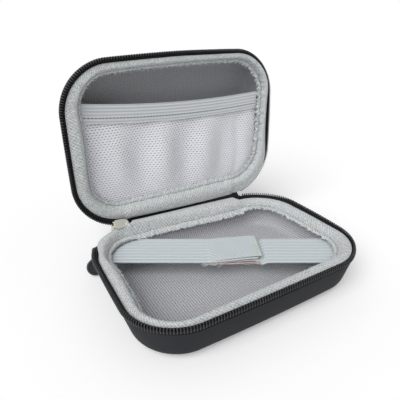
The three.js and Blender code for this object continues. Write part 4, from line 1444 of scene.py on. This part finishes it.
def frayed_threads():
    """Loose yarn at the cut end of the right strap."""
    spread = np.linspace(0, 1, FRAYED_COUNT)
    across = STRAP_LOW_EDGE - THREAD_LOW + THREAD_LOW * spread
    edge = on_strap(THREAD_START + FRAYED_LENGTH * spread, across, STRAP_DROP + FRAYED_DROP)
    back = np.append(-STRAP_ALONG, 0)
    fray = run_tree(
        "strap_frayed_threads", FRAY, {"Length": 0.0042, "Thread": 0.00014, "Spread": 0.5, "Seed": 11},
        PALE_THREAD, edge, np.tile(back, (FRAYED_COUNT, 1)), np.tile(UPWARD, (FRAYED_COUNT, 1)))
    return finished(fray, "base", "elastic")


def strap():
    left = strap_band("strap_left_elastic", LEFT_LENGTH, lay_left, "strap_left")
    right = strap_band("strap_right_elastic", RIGHT_LENGTH, lay_right, "strap_right")
    fold_width = STRAP_WIDTH - FOLD_MARGIN
    fold = elastic_band(
        "strap_fold_elastic", FOLD_LENGTH, fold_width, rib_count=1, relief=0.0, thickness=0.45,
        finish=FOLD, steps=60, rows=42)
    mapped(fold, lay_fold)
    finished(fold, "base", "elastic")
    sew = strap_stitches()
    threads = rubber_threads()
    fray = frayed_threads()


# Slider and pull

def slider_place(points):
    """Slider's own frame, +X towards the hinge and +Y out of the case, to the open case."""
    point, tangent = rim_at(SLIDER_CENTRE)
    angle = math.atan2(-tangent[0], tangent[1]) - QUARTER
    turn = Matrix.Rotation(angle, 3, "Z")
    lean = Matrix.Rotation(-QUARTER / 2, 3, "X")
    pivot = np.array([0, HINGE_Y, 0])
    plan = np.asarray(points) @ np.array(turn).T + np.append(point, 0)
    return (plan - pivot) @ np.array(lean).T + pivot + np.array([0, 0, HALF_DEPTH])


def pull_place(points):
    """Pull's own frame, +X along it from the crown's bar, to the open case."""
    turn = np.array(Matrix.Rotation(math.pi - PULL_SWING, 3, "Y") @ Matrix.Rotation(PULL_LIFT, 3, "Z"))
    bar_middle = np.array([-PULL_OFFSET, SLIDER_PLATE - SLIDER_SINK + CROWN_OPENING + CROWN_BAR / 2, 0])
    return slider_place(np.asarray(points) @ turn.T + bar_middle)


def rounded_rectangle(length, width, radius, steps):
    points = []
    for k, (sx, sy) in enumerate(((1, 1), (-1, 1), (-1, -1), (1, -1))):
        corner = arc(sx * (length / 2 - radius), radius, k * QUARTER, (k + 1) * QUARTER, steps)
        points.append(corner + np.array([0, sy * (width / 2 - radius)]))
    return np.vstack(points)


def at_height(outline, height):
    """Outline of a plate that lies across Y, at a height."""
    return np.stack([outline[:, 0], np.full(len(outline), height), outline[:, 1]], -1)


def pebble(outline, low, high, edge, dome):
    """Plate with rounded edges and a domed top, lying across Y."""
    centre = outline.mean(axis=0)
    spokes = outline - centre
    reach = np.linalg.norm(spokes, axis=1)[:, None]
    turns = [(edge * (1 - math.cos(a)), edge * (1 - math.sin(a))) for a in np.linspace(0, QUARTER, 5)]
    levels = [(shrink, low + rise) for shrink, rise in turns[::-1]]
    levels += [(shrink, high - rise) for shrink, rise in turns]
    rings = [at_height(centre + spokes * (1 - shrink / reach), height) for shrink, height in levels]
    for share in (0.6, 0.3):
        rings.append(at_height(centre + spokes * (1 - edge / reach) * share, high + dome * (1 - share ** 2)))
    return capped(np.stack(rings))[:2]


def bar(low, high):
    """Plain bar between two corners."""
    x, y, z = zip(low, high)
    points = [(a, b, c) for a in x for b in y for c in z]
    faces = [(0, 1, 3, 2), (4, 6, 7, 5), (0, 4, 5, 1), (2, 3, 7, 6), (0, 2, 6, 4), (1, 5, 7, 3)]
    return np.array(points), faces


def cast_in_one(name, parts, finish, voxel):
    """Joins solid parts into one cast body with soft edges."""
    points, faces = merged(parts)
    obj = piece(name, slider_place(points), faces, finish)
    cast = obj.modifiers.new("cast", "REMESH")
    cast.mode = "VOXEL"
    cast.voxel_size = voxel * MM
    cast.use_smooth_shade = True
    soften = obj.modifiers.new("soften", "SMOOTH")
    soften.iterations = 4
    settled(obj)
    obj.data.materials.clear()
    obj.data.materials.append(finish)
    return obj


def slider():
    """Two plates joined by a wedge, with guides at their sides and a crown on the outer one."""
    outer, inner = -SLIDER_SINK, -SLIDER_SINK - SLIDER_CHANNEL
    outline = rounded_rectangle(SLIDER_LENGTH, 2 * SLIDER_HALF_WIDTH, SLIDER_CORNER, 8)
    taper = np.clip((outline[:, 0] - SLIDER_TAPER_START) / SLIDER_TAPER_LENGTH, 0, 1)
    outline[:, 1] *= 1 - SLIDER_TAPER * taper
    foot = outer + SLIDER_PLATE
    low, high = inner - SLIDER_ROOT, outer + SLIDER_ROOT
    parts = [
        pebble(outline, outer, foot, SLIDER_EDGE, SLIDER_DOME),
        pebble(outline, inner - SLIDER_PLATE, inner, SLIDER_EDGE, 0.0),
        bar((WEDGE_START, low, -WEDGE_HALF_WIDTH), (WEDGE_END, high, WEDGE_HALF_WIDTH)),
    ]
    guide = SLIDER_HALF_WIDTH - GUIDE_MARGIN
    for z in (-guide, guide - GUIDE_WIDTH):
        parts.append(bar((GUIDE_START, outer - GUIDE_REACH, z), (GUIDE_END, high, z + GUIDE_WIDTH)))
        parts.append(bar((GUIDE_START, low, z), (GUIDE_END, inner + GUIDE_REACH, z + GUIDE_WIDTH)))
    end, opening, half = CROWN_LENGTH / 2, foot + CROWN_OPENING, CROWN_HALF_WIDTH
    for x in (-end, end - CROWN_BAR):
        parts.append(bar((x, foot - SLIDER_ROOT, -half), (x + CROWN_BAR, opening + SLIDER_ROOT, half)))
    bar_end = end - CROWN_ROUND
    parts.append(bar((-bar_end, opening, -half), (bar_end, opening + CROWN_BAR, half)))
    body = cast_in_one("slider_cast", parts, NICKEL, SLIDER_VOXEL)
    finished(body, "slider", "nickel", "slider_body")


def link():
    radius = LINK_WIRE / 2
    path = rounded_rectangle(
        LINK_HOLE_LENGTH + LINK_WIRE, LINK_HOLE_WIDTH + LINK_WIRE, LINK_HOLE_CORNER + radius, 7)
    path = path + np.array([LINK_HOLE_LENGTH / 2 - LINK_HEEL, 0])
    normal = rightward(unit(np.roll(path, -1, axis=0) - np.roll(path, 1, axis=0)))
    angles = np.linspace(0, TAU, 10, endpoint=False)
    flat = path[:, None, :] + normal[:, None, :] * (radius * np.cos(angles))[None, :, None]
    height = np.broadcast_to(radius * np.sin(angles), flat.shape[:2])
    points, faces, _ = loft(np.concatenate([flat, height[..., None]], -1), True)
    finished(piece("pull_link_wire", pull_place(points), faces, NICKEL), "link", "nickel", "pull_link")


def tab():
    """Moulded tab with rounded edges, a sunk panel on both faces and an eye for the link."""
    heel, bulb = TAB_EYE_RADIUS + TAB_EYE_WALL, TAB_WIDTH / 2
    neck = bezier((0, -heel), (TAB_NECK, -heel), (TAB_LENGTH - bulb, -bulb), 14)
    round_end = arc(TAB_LENGTH - bulb, bulb, -QUARTER, QUARTER, 24)
    heel_end = arc(0, heel, QUARTER, 3 * QUARTER, 16)
    outline = np.vstack([neck[:-1], round_end, (neck * (1, -1))[::-1][1:], heel_end[1:-1]])
    inward = -rightward(unit(np.roll(outline, -1, axis=0) - np.roll(outline, 1, axis=0)))
    half = TAB_THICKNESS / 2
    levels = [(TAB_PANEL, half - TAB_PANEL_DEPTH), (TAB_LIP, half)]
    for a in np.linspace(0, math.pi, 9):
        height = (half - TAB_EDGE) * np.sign(math.cos(a)) + TAB_EDGE * math.cos(a)
        levels.append((TAB_EDGE * (1 - math.sin(a)), height))
    levels += [(TAB_LIP, -half), (TAB_PANEL, TAB_PANEL_DEPTH - half)]
    offset = np.array([LINK_REACH, 0, 0])
    rings = [at_height(outline + inward * inset, height) for inset, height in levels]
    points, faces, _ = capped(np.stack(rings))
    obj = piece("pull_tab_moulded", pull_place(points + offset), faces, PULL, sharp=50)
    hole = arc(0, TAB_EYE_RADIUS, 0, TAU, 17)[:-1]
    rings = [at_height(hole, height) for height in (-TAB_THICKNESS, TAB_THICKNESS)]
    points, faces, _ = capped(np.stack(rings))
    drill = piece("tab_eye_drill", pull_place(points + offset), faces, PULL)
    cut = obj.modifiers.new("eye", "BOOLEAN")
    cut.operation = "DIFFERENCE"
    cut.object = drill
    settled(obj)
    bpy.data.objects.remove(drill)
    obj.data.set_sharp_from_angle(angle=math.radians(40))
    finished(obj, "tab", "pull", "pull_tab")


for half_case in (BASE, LID):
    shell(half_case)
    lining(half_case)
    binding(half_case)
    zip_half(half_case)
end_stop()
hinge_tape()
mesh_pocket()
pocket_elastic()
strap()
slider()
link()
tab()


# Floor, light and camera

def looked_at(tree):
    """1 for what the camera, a mirror or glass shows."""
    path = add(tree, "ShaderNodeLightPath").outputs
    seen = maths(tree, "MAXIMUM", path["Is Camera Ray"], path["Is Glossy Ray"])
    return maths(tree, "MAXIMUM", seen, path["Is Transmission Ray"])


def floor():
    mesh = bpy.data.meshes.new("floor")
    corners = [(x * FLOOR_REACH, y * FLOOR_REACH, 0) for x, y in ((-1, -1), (1, -1), (1, 1), (-1, 1))]
    mesh.from_pydata(corners, [], [(0, 1, 2, 3)])
    material, tree, shader = new_finish("studio_floor", roughness=0.9, specular=0.0)
    shader.inputs["Base Color"].default_value = FLOOR_COLOUR
    glow = maths(tree, "MULTIPLY", looked_at(tree), FLOOR_GLOW)
    white = add(tree, "ShaderNodeEmission", {"Color": WHITE, "Strength": glow})
    both = add(tree, "ShaderNodeAddShader", {0: shader.outputs[0], 1: white.outputs[0]})
    tree.links.new(both.outputs[0], tree.nodes["Material Output"].inputs["Surface"])
    mesh.materials.append(material)
    obj = bpy.data.objects.new("floor", mesh)
    bpy.context.scene.collection.objects.link(obj)


def key_light():
    """Soft distant light, towards the case."""
    light = bpy.data.lights.new("key", "SUN")
    light.energy = KEY_STRENGTH
    light.angle = KEY_SPREAD
    obj = bpy.data.objects.new("key", light)
    obj.rotation_euler = (-Vector(KEY_PLACE)).to_track_quat("-Z", "Y").to_euler()
    bpy.context.scene.collection.objects.link(obj)


def surroundings():
    world = bpy.data.worlds.new("studio")
    bpy.context.scene.world = world
    world.use_nodes = True
    tree = world.node_tree
    tree.nodes.clear()
    levels = {"Value": looked_at(tree), "To Min": WORLD_LIGHT, "To Max": 1.0}
    strength = add(tree, "ShaderNodeMapRange", levels)
    light = add(tree, "ShaderNodeBackground", {"Color": WHITE, "Strength": strength.outputs[0]})
    add(tree, "ShaderNodeOutputWorld", {"Surface": light.outputs[0]})


def camera():
    data = bpy.data.cameras.new("camera")
    data.sensor_width = CAMERA_SENSOR
    data.lens = CAMERA_LENS
    obj = bpy.data.objects.new("camera", data)
    level = math.cos(CAMERA_ELEVATION)
    back = Vector((
        math.sin(CAMERA_AZIMUTH) * level, -math.cos(CAMERA_AZIMUTH) * level, math.sin(CAMERA_ELEVATION),
    ))
    aim = back.to_track_quat("Z", "Y").to_matrix() @ Matrix.Rotation(CAMERA_ROLL, 3, "Z")
    obj.matrix_world = Matrix.Translation(CAMERA_PLACE) @ aim.to_4x4()
    bpy.context.scene.collection.objects.link(obj)
    bpy.context.scene.camera = obj


floor()
surroundings()
key_light()
camera()
bpy.context.scene.view_settings.view_transform = "Standard"
